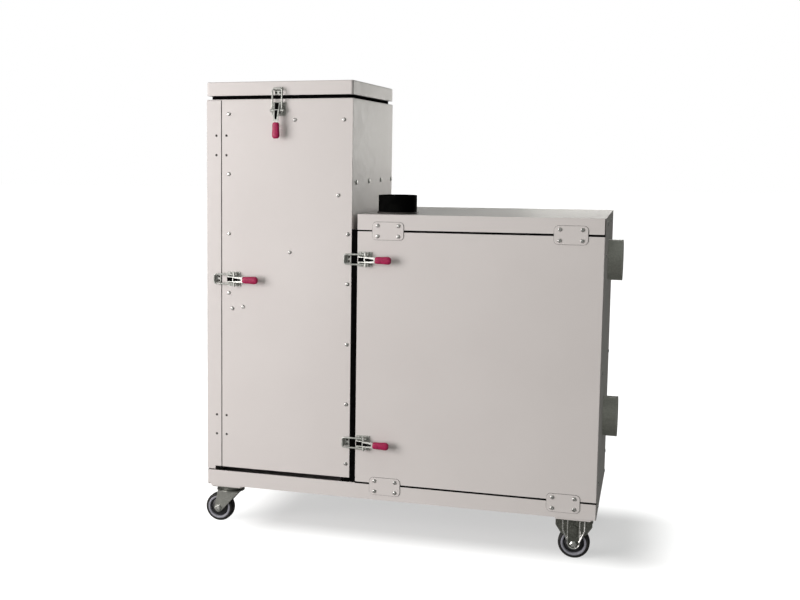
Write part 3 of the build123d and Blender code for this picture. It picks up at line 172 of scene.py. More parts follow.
def mathNode(tree, kind, operation, values):
    node = addNode(tree, kind, values)
    node.operation = operation
    return node


def noiseNode(tree, coords, scale, detail):
    noise = addNode(tree, "ShaderNodeTexNoise", {"Scale": scale, "Detail": detail})
    tree.links.new(coords, noise.inputs["Vector"])
    return noise.outputs["Fac"]


def rangeNode(tree, value, band, low, high, ease="LINEAR"):
    limits = {"From Min": band[0], "From Max": band[1], "To Min": low, "To Max": high}
    spread = addNode(tree, "ShaderNodeMapRange", limits)
    spread.interpolation_type = ease
    tree.links.new(value, spread.inputs["Value"])
    return spread.outputs["Result"]


def mixNode(tree, factor, low, high):
    # The colour sockets of a Mix node are inputs 6 and 7 and output 2
    mix = addNode(tree, "ShaderNodeMix", {6: (*low, 1), 7: (*high, 1)})
    mix.data_type = "RGBA"
    tree.links.new(factor, mix.inputs[0])
    return mix.outputs[2]


def makeFinish(name, look):
    material = bpy.data.materials.new(name)
    material.use_nodes = True
    tree = material.node_tree
    shader = tree.nodes["Principled BSDF"]
    coords = tree.nodes.new("ShaderNodeTexCoord").outputs["Object"]
    band = noiseUse["band"]
    blotch = noiseNode(tree, coords, look["toneScale"], noiseUse["toneDetail"])
    tone = mixNode(tree, rangeNode(tree, blotch, band, 0, 1), *look["tones"])
    tree.links.new(tone, shader.inputs["Base Color"])
    wear = noiseNode(tree, coords, look["roughScale"], noiseUse["roughDetail"])
    tree.links.new(rangeNode(tree, wear, band, *look["rough"]), shader.inputs["Roughness"])
    shader.inputs["Metallic"].default_value = look["metal"]
    shader.inputs["Specular IOR Level"].default_value = look.get("gloss", plainGloss)
    bump = addNode(tree, "ShaderNodeBump", {"Strength": look["bump"], "Distance": bumpHeight})
    grain = noiseNode(tree, coords, look["bumpScale"], noiseUse["bumpDetail"])
    tree.links.new(grain, bump.inputs["Height"])
    tree.links.new(bump.outputs["Normal"], shader.inputs["Normal"])
    return material


finish = {name: makeFinish(name, look) for name, look in finishes.items()}
# The gaskets take the near-black seal finish: their own black, deepened as painted shade in the
# gaps they sit in
sealsAndShade = {"joint_gasket": "black_seal_and_painted_shade", "lid_gasket": "black_seal_and_painted_shade"}
for name, slot in slotOf.items():
    nodes[name].data.materials.clear()
    nodes[name].data.materials.append(finish[sealsAndShade.get(name, slot)])
print("finishes made,", len(finish))


def sharpen(form, turn):
    for face in form.faces:
        face.smooth = True
    for edge in form.edges:
        edge.smooth = len(edge.link_faces) == 2 and edge.calc_face_angle(0) < radians(turn)


def faceOut(form):
    bmesh.ops.recalc_face_normals(form, faces=form.faces)


def addPiece(name, form, slot, body, replaced=(), look=None, turn=32):
    sharpen(form, turn)
    mesh = bpy.data.meshes.new(name)
    form.to_mesh(mesh)
    form.free()
    mesh.materials.append(finish[look or slot])
    piece = bpy.data.objects.new(name, mesh)
    bpy.context.scene.collection.objects.link(piece)
    if replaced:
        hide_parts(*replaced)
    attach(piece, body)
    return piece


dressing = {"merge": 1e-6, "flat": 1, "turn": 40}  # metres and degrees


def addDressed(name, node, edge, look=None, steps=2):
    # A copy of a CAD node with its sharp edges broken, as bent and deburred sheet has them
    form = bmesh.new()
    form.from_mesh(nodes[node].data)
    bmesh.ops.remove_doubles(form, verts=form.verts, dist=dressing["merge"])
    bmesh.ops.dissolve_limit(
        form, angle_limit=radians(dressing["flat"]), verts=form.verts, edges=form.edges
    )
    limit = radians(dressing["turn"])
    sharp = [e for e in form.edges if len(e.link_faces) == 2 and e.calc_face_angle(0) > limit]
    bmesh.ops.bevel(
        form, geom=sharp, offset=edge, segments=steps, profile=0.5, affect="EDGES",
        clamp_overlap=True,
    )
    piece = addPiece(name, form, slotOf[node], bodyOf[node], [node], look)
    # Keeps the shading of large flat faces flat beside their rounded edges
    piece.modifiers.new("flats", "WEIGHTED_NORMAL").keep_sharp = True


def along(origin, axis):
    # Matrix that sets local +Z along an axis at an origin
    turn = Vector((0, 0, 1)).rotation_difference(Vector(axis)).to_matrix().to_4x4()
    return Matrix.Translation(Vector(origin)) @ turn


def onFront(x, z, proud=0):
    # Place on the front, from millimetres right of the left edge and above the floor
    return along((leftX + x / 1000, frontY - proud, z / 1000), toFront)


def spin(form, profile, place, steps, closed=False):
    # Lathes (radius, height) points about local +Z
    rings = []
    for n in range(steps):
        turn = 2 * pi * n / steps
        ring = [place @ Vector((r * cos(turn), r * sin(turn), h)) for r, h in profile]
        rings.append([form.verts.new(point) for point in ring])
    count = len(profile)
    pairs = [(k, k + 1) for k in range(count - 1)] + ([(count - 1, 0)] if closed else [])
    for n in range(steps):
        ring, following = rings[n], rings[(n + 1) % steps]
        for a, b in pairs:
            form.faces.new((ring[a], following[a], following[b], ring[b]))
    bmesh.ops.remove_doubles(form, verts=[v for ring in rings for v in ring], dist=1e-7)


def loft(form, rings):
    # Joins rings of vertices into a skin and closes both of its ends
    for ring, following in zip(rings, rings[1:]):
        for k in range(len(ring)):
            form.faces.new((ring[k - 1], ring[k], following[k], following[k - 1]))
    form.faces.new(rings[0])
    form.faces.new(list(reversed(rings[-1])))


def sweep(form, path, radius, place, sides=12):
    # Sweeps a round wire along points
    points = [Vector(p) for p in path]
    turns = [2 * pi * k / sides for k in range(sides)]
    rings = []
    normal = None
    for n, point in enumerate(points):
        before = points[max(n - 1, 0)]
        after = points[min(n + 1, len(points) - 1)]
        tangent = (after - before).normalized()
        if normal is None:
            normal = tangent.orthogonal().normalized()
        normal = (normal - tangent * normal.dot(tangent)).normalized()
        side = tangent.cross(normal)
        ring = [place @ (point + radius * (cos(t) * normal + sin(t) * side)) for t in turns]
        rings.append([form.verts.new(spot) for spot in ring])
    loft(form, rings)


def slab(form, outline, place, low, high):
    # Extrudes a closed XY outline along local Z, from low to high
    foot = [form.verts.new(place @ Vector((x, y, low))) for x, y in outline]
    head = [form.verts.new(place @ Vector((x, y, high))) for x, y in outline]
    form.faces.new(list(reversed(foot)))
    form.faces.new(head)
    for n in range(len(outline)):
        form.faces.new((foot[n - 1], foot[n], head[n], head[n - 1]))


def block(form, start, end):
    # Adds a box between two corners
    outline = [(start[0], start[1]), (end[0], start[1]), (end[0], end[1]), (start[0], end[1])]
    slab(form, outline, Matrix(), start[2], end[2])


def bend(corner, start, end, radius, steps=5):
    # Points of a rounded corner of a wire, between the directions to start and to end
    corner, toStart, toEnd = Vector(corner), Vector(start), Vector(end)
    a = (toStart - corner).normalized() * radius
    b = (toEnd - corner).normalized() * radius
    return [
        corner + a * (1 - sin(pi / 2 * n / steps)) + b * (1 - cos(pi / 2 * n / steps))
        for n in range(steps + 1)
    ]


# Sheet metal of the casing, lid and side door: each node and the width of its broken edges
sheetPieces = {
    "baseTray": ("base_tray", 0.0012), "towerShell": ("tower_shell", 0.0012),
    "frontPlate": ("tower_front_plate", 0.0007), "towerHead": ("tower_head", 0.0006),
    "exchangerShell": ("exchanger_shell", 0.0012), "exchangerSide": ("exchanger_side", 0.0012),
    "exchangerCover": ("exchanger_cover", 0.0008), "frontPanel": ("exchanger_front_panel", 0.0009),
    "jointPlates": ("joint_plates", 0.0004), "lidShell": ("lid_shell", 0.0008),
    "lidLiner": ("lid_liner", 0.0008), "sideDoor": ("side_door", 0.0012),
}
for name, (node, edge) in sheetPieces.items():
    addDressed(name, node, edge, steps=3)
print("sheet metal dressed")

# Painted shade in the casing's seams: near-black strips, each from (x, z) to (x, z), with their
# depths behind the front
seams = {
    "recessed": {
        "depth": (0.0004, 0.0020),
        "strips": (
            ((-0.4958, 0.1555), (-0.4942, 1.1840)),  # side door's post
            ((-0.1500, 0.1552), (-0.1285, 0.1668)),  # tower's foot
            ((-0.1283, 0.1590), (-0.1127, 0.8400)),  # gap between tower and exchanger
        ),
    },
    "proud": {
        "depth": (-0.0003, 0.0015),
        "strips": (
            ((-0.1125, 0.8361), (-0.0305, 0.8399)),  # above the panel, left of the first plate
            ((-0.0305, 0.8352), (0.5168, 0.8408)),  # and right of it
            ((-0.1125, 0.1541), (0.5168, 0.1589)),  # below the panel
            ((0.5152, 0.8390), (0.5168, 0.8806)),  # cover's front corner
        ),
    },
}
form = bmesh.new()
for seam in seams.values():
    near, far = seam["depth"]
    for (left, low), (right, high) in seam["strips"]:
        block(form, (left, frontY + near, low), (right, frontY + far, high))
faceOut(form)
addPiece("seamShadeStrips", form, "black_rubber", "casing", look="black_seal_and_painted_shade")
print("seals set")

# Joint plates, in millimetres from the left edge and above the floor, and a thin near-black rim
# round each plate, painted as the shadow of its edge
jointPlate = {
    "centres": ((507.5, 151.0), (507.5, 838.0), (972.5, 151.0), (972.5, 838.0)),
    "screwX": (-27.5, 27.5), "screwZ": (-14, 14), "thick": 0.002,  # thick is in metres
}
plateShadowRim = {"halfX": 0.0421, "halfZ": 0.0241, "corner": 0.0116, "thick": 0.0007, "steps": 6}
outline = []
for n, (i, j) in enumerate(((1, 1), (-1, 1), (-1, -1), (1, -1))):
    for k in range(plateShadowRim["steps"] + 1):
        turn = pi / 2 * (n + k / plateShadowRim["steps"])
        corner = plateShadowRim["corner"]
        x = i * (plateShadowRim["halfX"] - corner) + corner * cos(turn)
        z = j * (plateShadowRim["halfZ"] - corner) + corner * sin(turn)
        outline.append((x, z))
form = bmesh.new()
for x, z in jointPlate["centres"]:
    slab(form, outline, onFront(x, z), 0, plateShadowRim["thick"])
faceOut(form)
addPiece("plateShadowRims", form, "black_rubber", "casing", look="black_seal_and_painted_shade")

# Screws and rivets. Their places are in millimetres, from the left edge or from the front, and
# above the floor; their profiles are in metres.
screwHead = {
    "steps": 16,
    "profile": (
        (0, 0.0019), (0.0012, 0.0019), (0.0016, 0.0029), (0.0030, 0.0030),
        (0.0043, 0.0024), (0.0052, 0.0013), (0.0055, 0.0), (0, 0),
    ),
    "front": (
        (64, 1146), (64, 984), (64, 821), (64, 658), (399, 205), (399, 368), (399, 531),
        (399, 694), (399, 827), (74, 615), (105, 621), (238, 775), (372, 930), (251, 1129),
        (386, 1129),
    ),
    "side": (
        (60, 135), (60, 193), (60, 483), (60, 782), (430, 135), (430, 193), (430, 483),
        (430, 782), (117, 862), (311, 862),
    ),
    "wall": ((41, 964), (188, 964), (337, 964), (475, 964)),
    "wallSize": (1.25, 1.3),  # wider and taller than the others
}
rivetHead = {
    "steps": 12,
    "profile": ((0, 0.0015), (0.0014, 0.0014), (0.0026, 0.0009), (0.0034, 0.0), (0, 0)),
    "rows": (1088, 1035, 314, 260), "plateX": 57, "doorX": 28,
}
form = bmesh.new()
for x, z in screwHead["front"]:
    spin(form, screwHead["profile"], onFront(x, z), screwHead["steps"])
for x, z in jointPlate["centres"]:
    for i in jointPlate["screwX"]:
        for j in jointPlate["screwZ"]:
            place = onFront(x + i, z + j, jointPlate["thick"])
            spin(form, screwHead["profile"], place, screwHead["steps"])
for y, z in screwHead["side"]:
    place = along((rightX, frontY + y / 1000, z / 1000), toRight)
    spin(form, screwHead["profile"], place, screwHead["steps"])
broader, taller = screwHead["wallSize"]
wide = [(r * broader, h * taller) for r, h in screwHead["profile"]]
for y, z in screwHead["wall"]:
    place = along((towerX, frontY + y / 1000, z / 1000), toRight)
    spin(form, wide, place, screwHead["steps"])
addPiece("casingScrews", form, "zinc_steel", "casing", ["casing_fasteners"])
form = bmesh.new()
for z in rivetHead["rows"]:
    spin(form, rivetHead["profile"], onFront(rivetHead["plateX"], z), rivetHead["steps"])
addPiece("plateRivets", form, "zinc_steel", "casing", look="dark_rivet_tone")
form = bmesh.new()
for z in rivetHead["rows"]:
    spin(form, rivetHead["profile"], onFront(rivetHead["doorX"], z), rivetHead["steps"])
addPiece("doorRivets", form, "zinc_steel", "side_door", ["door_rivets"], "dark_rivet_tone")
print("screws and rivets set")

# Duct collars with a rolled rim, and the flue stub with its ring
collar = {
    "steps": 72, "levels": (0.759, 0.335),
    "profile": (
        (0.063, -0.004), (0.063, -0.002), (0.054, -0.002), (0.054, 0.0326), (0.0544, 0.0342),
        (0.0544, 0.0362), (0.0538, 0.0370), (0.0524, 0.0370), (0.052, 0.0362), (0.052, -0.004),
    ),
}
form = bmesh.new()
for z in collar["levels"]:
    place = along((rightX, midY, z), toRight)
    spin(form, collar["profile"], place, collar["steps"], closed=True)
addPiece("ductCollars", form, "collar_steel", "casing", ["duct_collars"], turn=50)

flue = {
    "steps": 72, "place": (-0.022, -0.1564, boxTop),
    "profile": (
        (0.049, -0.089), (0.051, -0.089), (0.051, 0.0), (0.051, 0.0052), (0.051, 0.0478),
        (0.0506, 0.049), (0.0494, 0.049), (0.049, 0.0478),
    ),
    "ring": ((0.051, 0.0), (0.054, 0.0), (0.054, 0.0038), (0.0528, 0.005), (0.051, 0.005)),
}
place = Matrix.Translation(flue["place"])
form = bmesh.new()
spin(form, flue["profile"], place, flue["steps"], closed=True)
addPiece("flueStub", form, "flue_black", "casing", ["flue_stub"], turn=50)
form = bmesh.new()
spin(form, flue["ring"], place, flue["steps"], closed=True)
addPiece("flueRing", form, "flue_black", "casing", look="fire_steel", turn=50)
print("collars and flue set")

# Toggle latches. Each place is a pivot, then the directions to its catch and across.
latchPlaces = {
    "lid": ((leftX + 0.205, frontY, 1.17), (0, 0, 1), (-1, 0, 0)),
    "door": ((leftX + 0.0675, frontY, 0.697), (-1, 0, 0), (0, 0, -1)),
    "upper": ((leftX + 0.435, frontY, 0.762), (-1, 0, 0), (0, 0, -1)),
    "lower": ((leftX + 0.435, frontY, 0.267), (-1, 0, 0), (0, 0, -1)),
}
grip = {
    "height": 0.023, "sides": 20, "square": 0.8,  # an exponent of 1 gives an oval section
    "start": {"lid": -0.0475, "door": -0.0440, "upper": -0.0435, "lower": -0.0435},
    "sections": (
        (0.0, 0.0050, 0.0042), (0.0008, 0.0078, 0.0052), (0.004, 0.0092, 0.0058),
        (0.010, 0.0097, 0.0062), (0.017, 0.0093, 0.0060), (0.024, 0.0098, 0.0062),
        (0.031, 0.0105, 0.0064), (0.036, 0.0105, 0.0064), (0.0400, 0.0094, 0.0060),
        (0.0424, 0.0068, 0.0046), (0.0434, 0.0030, 0.0022),
    ),
}
wire = {
    "r": 0.0023, "y": 0.0132, "height": 0.012, "back": -0.0245, "crown": 0.0423, "bend": 0.0062,
}
trunnion = {"x": -0.016, "r": 0.0048, "inner": 0.0098, "outer": 0.0172, "pin": 0.0032, "steps": 20}
nut = {"r": 0.0037, "t": 0.0030, "top": 0.86, "chamfer": 0.0005}
baseScrews = {
    "at": ((-0.0225, 0.0152), (-0.0015, 0.0152), (-0.0225, -0.0152), (-0.0015, -0.0152)),
    "height": 0.0025, "steps": 14,
    "profile": (
        (0, 0.0018), (0.001, 0.0018), (0.0014, 0.0027), (0.0028, 0.0025), (0.0038, 0.0014),
        (0.0041, 0),
    ),
}
catchRivets = {
    "at": ((0.0312, 0.0056), (0.0312, -0.0056)), "height": 0.0025, "steps": 14,
    "profile": ((0, 0.0013), (0.0014, 0.0012), (0.0028, 0.0007), (0.0033, 0)),
}
# Near-black inlay on each lever, painted shade of its channel
hollowShade = {
    "frontX": (-0.0135, 0.0042), "frontHalf": 0.0054, "frontZ": (0.0118, 0.0126),
    "slot": ((-0.0156, 0.0205, 0.0042), (-0.0300, 0.0241, 0.0036), (-0.0400, 0.0258, 0.0020)),
    "deep": -0.0006, "proud": 0.0003,
}
latchEdge = 0.0004


def addGrip(name, place):
    # A dipped sleeve with a waist and a fuller end
    form = bmesh.new()
    rings = []
    for x, w, h in grip["sections"]:
        ring = []
        for k in range(grip["sides"]):
            turn = 2 * pi * k / grip["sides"]
            y = abs(cos(turn)) ** grip["square"] * (1 if cos(turn) > 0 else -1) * w
            z = abs(sin(turn)) ** grip["square"] * (1 if sin(turn) > 0 else -1) * h
            spot = Vector((grip["start"][name] - x, y, grip["height"] + z))
            ring.append(form.verts.new(place @ spot))
        rings.append(ring)
    loft(form, rings)
    faceOut(form)
    replaced = [name + "_latch_grip"]
    sleeve = addPiece(name + "Grip", form, "red_vinyl", name + "_lever", replaced, turn=70)
    sleeve.modifiers.new("round", "SUBSURF").render_levels = 1


def hexNut(form, place):
    radius, half, top = nut["r"], nut["t"] / 2, nut["top"] * nut["r"]
    shoulder = half - nut["chamfer"]
    profile = (
        (0, half), (top, half), (radius, shoulder), (radius, -shoulder), (top, -half), (0, -half),
    )
    spin(form, profile, place, 6)


def addBail(name, place):
    # A bent rod held by nuts in two trunnions
    form = bmesh.new()
    corners = [(wire["crown"], side * wire["y"], wire["height"]) for side in (1, -1)]
    starts = [(wire["back"], side * wire["y"], wire["height"]) for side in (1, -1)]
    path = [Vector(starts[0])]
    path += bend(corners[0], starts[0], corners[1], wire["bend"])
    path += bend(corners[1], corners[0], starts[1], wire["bend"])
    path.append(Vector(starts[1]))
    sweep(form, path, wire["r"], place)
    pin, radius, wide = trunnion["pin"], trunnion["r"], trunnion["outer"] - trunnion["inner"]
    for side in (1, -1):
        centre = (trunnion["x"], side * trunnion["inner"], wire["height"])
        profile = ((pin, 0), (radius, 0), (radius, wide), (pin, wide))
        axis = place @ along(centre, (0, side, 0))
        spin(form, profile, axis, trunnion["steps"], closed=True)
        for way in (-1, 1):
            spot = (trunnion["x"] + way * (radius + nut["t"] / 2), side * wire["y"], wire["height"])
            hexNut(form, place @ along(spot, (1, 0, 0)))
    faceOut(form)
    replaced = [name + "_latch_bail"]
    addPiece(name + "Bail", form, "zinc_steel", name + "_bail", replaced, "latch_zinc", 50)


def addHollowShade(name, place):
    # Painted shade standing for the hollow of the lever's channel, open between its rails and
    # closing toward the tang
    form = bmesh.new()
    (back, tip), half = hollowShade["frontX"], hollowShade["frontHalf"]
    slab(form, [(back, -half), (tip, -half), (tip, half), (back, half)], place, *hollowShade["frontZ"])
    deep, proud = hollowShade["deep"], hollowShade["proud"]
    rows = []
    for x, z, half in hollowShade["slot"]:
        section = ((-half, deep), (half, deep), (half, proud), (-half, proud))
        rows.append([form.verts.new(place @ Vector((x, y, z + h))) for y, h in section])
    loft(form, rows)
    faceOut(form)
    addPiece(name + "LeverHollowShade", form, "zinc_steel", name + "_lever", look="black_seal_and_painted_shade")


def addHeads(form, heads, place):
    for x, y in heads["at"]:
        spot = place @ Matrix.Translation((x, y, heads["height"]))
        spin(form, heads["profile"], spot, heads["steps"])


baseForm = bmesh.new()
for name, (origin, toCatch, across) in latchPlaces.items():
    # Local X points to the catch, Y across and Z outward
    place = Matrix.Translation(origin) @ Matrix((toCatch, across, toFront)).transposed().to_4x4()
    addGrip(name, place)
    addBail(name, place)
    addDressed(name + "Lever", name + "_latch_lever", latchEdge, "latch_zinc")
    addHollowShade(name, place)
    form = bmesh.new()
    addHeads(form, catchRivets, place)
    body = bodyOf.get(name + "_catch", "casing")
    addPiece(name + "CatchRivets", form, "zinc_steel", body, look="dark_rivet_tone")
    addHeads(baseForm, baseScrews, place)
addPiece("latchScrews", baseForm, "zinc_steel", "casing", look="latch_zinc")
latchPieces = {
    "latchBases": "latch_bases", "towerCatches": "tower_catches", "lidCatch": "lid_catch",
    "doorCatch": "door_catch",
}
for name, node in latchPieces.items():
    addDressed(name, node, latchEdge, "latch_zinc")
print("latches made")

# Castors: tyre, rim and hub cap lathed, forks and plates dressed
tyre = {
    "steps": 64,
    "profile": (
        (0.0322, 0.0146), (0.0345, 0.015), (0.0366, 0.0145), (0.0384, 0.0131), (0.0395, 0.0108),
        (0.04, 0.0078), (0.04, 0.0006), (0.0397, 0.0), (0.04, -0.0006), (0.04, -0.0078),
        (0.0395, -0.0108), (0.0384, -0.0131), (0.0366, -0.0145), (0.0345, -0.015),
        (0.0322, -0.0146),
    ),
}
rim = {
    "steps": 48,
    "profile": (
        (0.0323, 0.0144), (0.0312, 0.0151), (0.0276, 0.0147), (0.0266, 0.0136), (0.0258, 0.0075),
        (0.0258, -0.0075), (0.0266, -0.0136), (0.0276, -0.0147), (0.0312, -0.0151),
        (0.0323, -0.0144),
    ),
}
cap = {
    "steps": 36,
    "profile": (
        (0.0052, 0.0186), (0.0118, 0.0186), (0.0128, 0.0176), (0.0138, 0.0110), (0.0225, 0.0094),
        (0.0246, 0.0084), (0.0260, 0.0076), (0.0260, -0.0076), (0.0246, -0.0084),
        (0.0225, -0.0094), (0.0138, -0.0110), (0.0128, -0.0176), (0.0118, -0.0186),
        (0.0052, -0.0186),
    ),
}
wheelX = {"left": -0.514, "right": 0.462}
wheelY = {"front": -0.1934, "rear": 0.2126}
axleZ = 0.04
for end, y in wheelY.items():
    for side, x in wheelX.items():
        name = end + side.capitalize()
        body = f"{end}_{side}_wheel"
        hub = along((x, y, axleZ), (0, 1, 0))
        form = bmesh.new()
        spin(form, tyre["profile"], hub, tyre["steps"])
        addPiece(name + "Tyre", form, "black_rubber", body, [f"{end}_{side}_tyre"], turn=50)
        form = bmesh.new()
        spin(form, rim["profile"], hub, rim["steps"], closed=True)
        addPiece(name + "Rim", form, "rim_grey", body, [f"{end}_{side}_hub"], turn=50)
        form = bmesh.new()
        spin(form, cap["profile"], hub, cap["steps"], closed=True)
        addPiece(name + "Cap", form, "black_plastic", body, turn=50)

# Heads and nuts of the axles, on the outer faces of the forks' cheeks
cheekY = 0.0215
axle = {
    "nut": ((0, 0.0062), (0.0044, 0.0062), (0.0050, 0.0056), (0.0052, 0.0044), (0, 0.0044)),
    "nutSteps": 16,
    "head": ((0, 0.0046), (0.0070, 0.0046), (0.0090, 0.0036), (0.0090, 0.0), (0, 0)),
    "headSteps": 6,
}
for end, y in wheelY.items():
    for side, x in wheelX.items():
        body = f"{end}_swivel" if side == "left" else "casing"
        form = bmesh.new()
        for way in (-1, 1):
            place = along((x, y + way * cheekY, axleZ), (0, way, 0))
            spin(form, axle["head"], place, axle["headSteps"])
            spin(form, axle["nut"], place, axle["nutSteps"])
        faceOut(form)
        name = end + side.capitalize() + "Axle"
        addPiece(name, form, "zinc_steel", body, look="bright_zinc_and_painted_highlight", turn=25)

# Pressed ribs and side wings on the cheeks of the rigid forks. The ribs' bright zinc is a painted
# highlight on the pressed edges, and the wings' darker zinc painted shade
rigidFork = {
    "top": 0.108, "archHalf": 0.015, "archZ": 0.043, "archSteps": 12, "archWire": 0.0020,
    "rib": ((0.0275, 0.108), (0.0275, 0.076), (0.0142, 0.046)), "ribWire": 0.0024, "sides": 10,
    "wing": (
        (-0.046, 0.110), (-0.046, 0.088), (-0.033, 0.068), (-0.022, 0.060), (0.022, 0.060),
        (0.033, 0.068), (0.046, 0.088), (0.046, 0.110),
    ),
    "wingDepth": (0.0014, 0.0004),
}
ribForm = bmesh.new()
wingForm = bmesh.new()
for y in wheelY.values():
    for way in (-1, 1):
        face = Matrix.Translation((wheelX["right"], y + way * cheekY, 0))
        half, level, steps = rigidFork["archHalf"], rigidFork["archZ"], rigidFork["archSteps"]
        arch = [Vector((-half, 0, rigidFork["top"]))]
        for n in range(steps + 1):
            turn = pi + pi * n / steps
            arch.append(Vector((half * cos(turn), 0, level + half * sin(turn))))
        arch.append(Vector((half, 0, rigidFork["top"])))
        sweep(ribForm, arch, rigidFork["archWire"], face, rigidFork["sides"])
        for hand in (-1, 1):
            rib = [(hand * x, 0, z) for x, z in rigidFork["rib"]]
            sweep(ribForm, rib, rigidFork["ribWire"], face, rigidFork["sides"])
        flat = face @ Matrix.Rotation(pi / 2, 4, "X")
        low, high = sorted(way * depth for depth in rigidFork["wingDepth"])
        slab(wingForm, rigidFork["wing"], flat, low, high)
faceOut(ribForm)
faceOut(wingForm)
addPiece("rigidForkRibs", ribForm, "zinc_steel", "casing", look="bright_zinc_and_painted_highlight")
addPiece("rigidForkWings", wingForm, "zinc_steel", "casing", look="castor_zinc_painted_shade")
castorEdge = 0.0006
# The rigid forks take the darker copy of the castors' zinc, as painted shade
castorPieces = {
    "frontSwivelFork": ("front_swivel_fork", "castor_zinc"),
    "rearSwivelFork": ("rear_swivel_fork", "castor_zinc"),
    "rigidForks": ("rigid_castor_forks", "castor_zinc_painted_shade"),
    "swivelPlates": ("swivel_castor_plates", "castor_zinc"),
}
for name, (node, look) in castorPieces.items():
    addDressed(name, node, castorEdge, look)
print("castors made")

# Rear: hinges, fan and control box, with the width of their broken edges
rearPieces = {
    "hingeButts": ("hinge_butts", 0.0004), "lidHingeLeaves": ("lid_hinge_leaves", 0.0004),
    "doorHingeLeaves": ("door_hinge_leaves", 0.0004), "fanFrame": ("fan_frame", 0.0005),
    "fanRotor": ("fan_rotor", 0.0006), "controlBox": ("control_box", 0.0008),
}
for name, (node, edge) in rearPieces.items():
    addDressed(name, node, edge)
print("rear dressed")

# Floor: a pale sheet that turns white for the camera away from the stove. Near it, in a box about
# the centre, its camera-only glow is lower: a painted shadow patch, inside which the floor's real
# shadow shows too. The fade starts at the box and is feather wide.
ground = {
    "half": 30.0, "tone": (0.45, 0.45, 0.445), "mottle": 1.02, "grainScale": 3.0, "grainDetail": 2,
    "rough": 0.9, "near": 0.50, "far": 1.0, "centre": (0.115, 0.01, 0), "box": (0.455, 0.14, 1),
    "feather": 0.21,
}
floorMesh = bpy.data.meshes.new("floor")
half = ground["half"]
corners = [(-half, -half, 0), (half, -half, 0), (half, half, 0), (-half, half, 0)]
floorMesh.from_pydata(corners, [], [(0, 1, 2, 3)])
floor = bpy.data.objects.new("floor", floorMesh)
bpy.context.scene.collection.objects.link(floor)
floorFinish = bpy.data.materials.new("floor")
floorFinish.use_nodes = True
tree = floorFinish.node_tree
shader = tree.nodes["Principled BSDF"]
coords = tree.nodes.new("ShaderNodeTexCoord").outputs["Object"]
speckle = noiseNode(tree, coords, ground["grainScale"], ground["grainDetail"])
grain = rangeNode(tree, speckle, noiseUse["band"], 0, 1)
lighter = [c * ground["mottle"] for c in ground["tone"]]
tree.links.new(mixNode(tree, grain, ground["tone"], lighter), shader.inputs["Base Color"])
shader.inputs["Roughness"].default_value = ground["rough"]
shader.inputs["Specular IOR Level"].default_value = 0.0
shader.inputs["Emission Color"].default_value = (1, 1, 1, 1)
past = coords  # becomes the distance past the box, axis by axis
fadeSteps = (
    ("SUBTRACT", {1: ground["centre"]}), ("ABSOLUTE", {}), ("SUBTRACT", {1: ground["box"]}),
    ("MAXIMUM", {1: (0, 0, 0)}),
)
for operation, values in fadeSteps:
    step = mathNode(tree, "ShaderNodeVectorMath", operation, values)
    tree.links.new(past, step.inputs[0])
    past = step.outputs["Vector"]
reach = mathNode(tree, "ShaderNodeVectorMath", "LENGTH", {})
tree.links.new(past, reach.inputs[0])
fade = rangeNode(
    tree, reach.outputs["Value"], (0.0, ground["feather"]), ground["near"], ground["far"],
    "SMOOTHSTEP",
)
seen = tree.nodes.new("ShaderNodeLightPath")
# Camera-only glow: white far off, lower in the box as painted shadow
lift = mathNode(tree, "ShaderNodeMath", "MULTIPLY", {})
tree.links.new(seen.outputs["Is Camera Ray"], lift.inputs[0])
tree.links.new(fade, lift.inputs[1])
tree.links.new(lift.outputs["Value"], shader.inputs["Emission Strength"])
floorMesh.materials.append(floorFinish)

# World: soft light, stronger from the front left and above, and white where the camera sees it
air = {
    "low": 0.06, "high": 0.62, "tone": (0.965, 1.0, 0.95), "from": (-0.74, -0.57, 0.36),
    "band": (-0.5, 1.0),
}
world = bpy.data.worlds.new("studio")
bpy.context.scene.world = world
world.use_nodes = True
tree = world.node_tree
ambient = tree.nodes["Background"]
ambient.inputs["Color"].default_value = (*air["tone"], 1)
facing = mathNode(tree, "ShaderNodeVectorMath", "DOT_PRODUCT", {1: air["from"]})
sky = tree.nodes.new("ShaderNodeTexCoord").outputs["Generated"]
tree.links.new(sky, facing.inputs[0])
rise = rangeNode(tree, facing.outputs["Value"], air["band"], air["low"], air["high"])
tree.links.new(rise, ambient.inputs["Strength"])
white = addNode(tree, "ShaderNodeBackground", {"Color": (1, 1, 1, 1), "Strength": 1.0})
seen = tree.nodes.new("ShaderNodeLightPath")
choice = tree.nodes.new("ShaderNodeMixShader")
tree.links.new(seen.outputs["Is Camera Ray"], choice.inputs["Fac"])
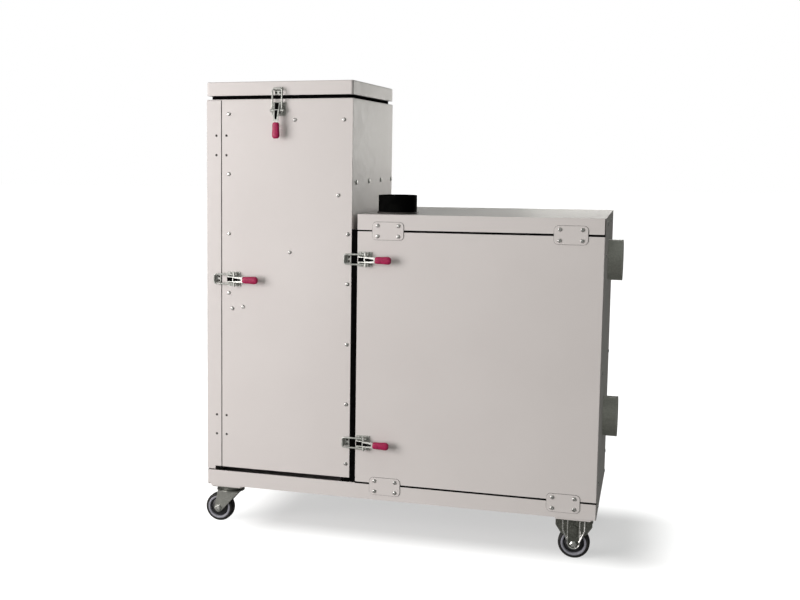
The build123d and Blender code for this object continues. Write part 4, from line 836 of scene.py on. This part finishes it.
tree.links.new(ambient.outputs["Background"], choice.inputs[1])
tree.links.new(white.outputs["Background"], choice.inputs[2])
tree.links.new(choice.outputs["Shader"], tree.nodes["World Output"].inputs["Surface"])

# Soft lamps: place, aim, size in metres, power in watts, tone and spread in degrees
lamps = {
    "keyLamp": {
        "place": (-3.0, -3.2, 1.0), "aim": (-0.1, 0, 0.4), "size": 2.4, "power": 157.0,
        "tone": (1.0, 0.95, 0.95), "spread": 180,
    },
    "rightLamp": {
        "place": (0.40, 1.10, 1.14), "aim": (-0.13, 0, 1.12), "size": 0.5, "power": 1.3,
        "tone": (1.0, 0.98, 0.94), "spread": 100,
    },
    "backLamp": {
        "place": (-0.6, 2.6, 0.75), "aim": (0, 0, 0.5), "size": 1.2, "power": 11.0,
        "tone": (1.0, 1.0, 1.0), "spread": 180,
    },
}
for name, lamp in lamps.items():
    light = bpy.data.lights.new(name, "AREA")
    light.shape = "SQUARE"
    light.size = lamp["size"]
    light.energy = lamp["power"]
    light.color = lamp["tone"]
    light.spread = radians(lamp["spread"])
    holder = bpy.data.objects.new(name, light)
    holder.location = lamp["place"]
    holder.visible_camera = False
    ray = Vector(lamp["aim"]) - Vector(lamp["place"])
    holder.rotation_euler = ray.to_track_quat("-Z", "Y").to_euler()
    bpy.context.scene.collection.objects.link(holder)

# Camera, from the fit to the photograph's edges, in metres, degrees and millimetres
view = {
    "place": (0.63967, -3.31915, 1.04293), "pitch": 6.24, "roll": -0.08, "yaw": 18.85,
    "sensor": 36, "lens": 53.87, "shift": (0.1875, -0.021),
}
cameraData = bpy.data.cameras.new("camera")
cameraData.sensor_width = view["sensor"]
cameraData.lens = view["lens"]
cameraData.shift_x, cameraData.shift_y = view["shift"]
camera = bpy.data.objects.new("camera", cameraData)
camera.location = view["place"]
camera.rotation_euler = (radians(90 - view["pitch"]), radians(view["roll"]), radians(view["yaw"]))
bpy.context.scene.collection.objects.link(camera)
bpy.context.scene.camera = camera
bpy.context.scene.view_settings.view_transform = "Standard"
print("floor, light and camera set")
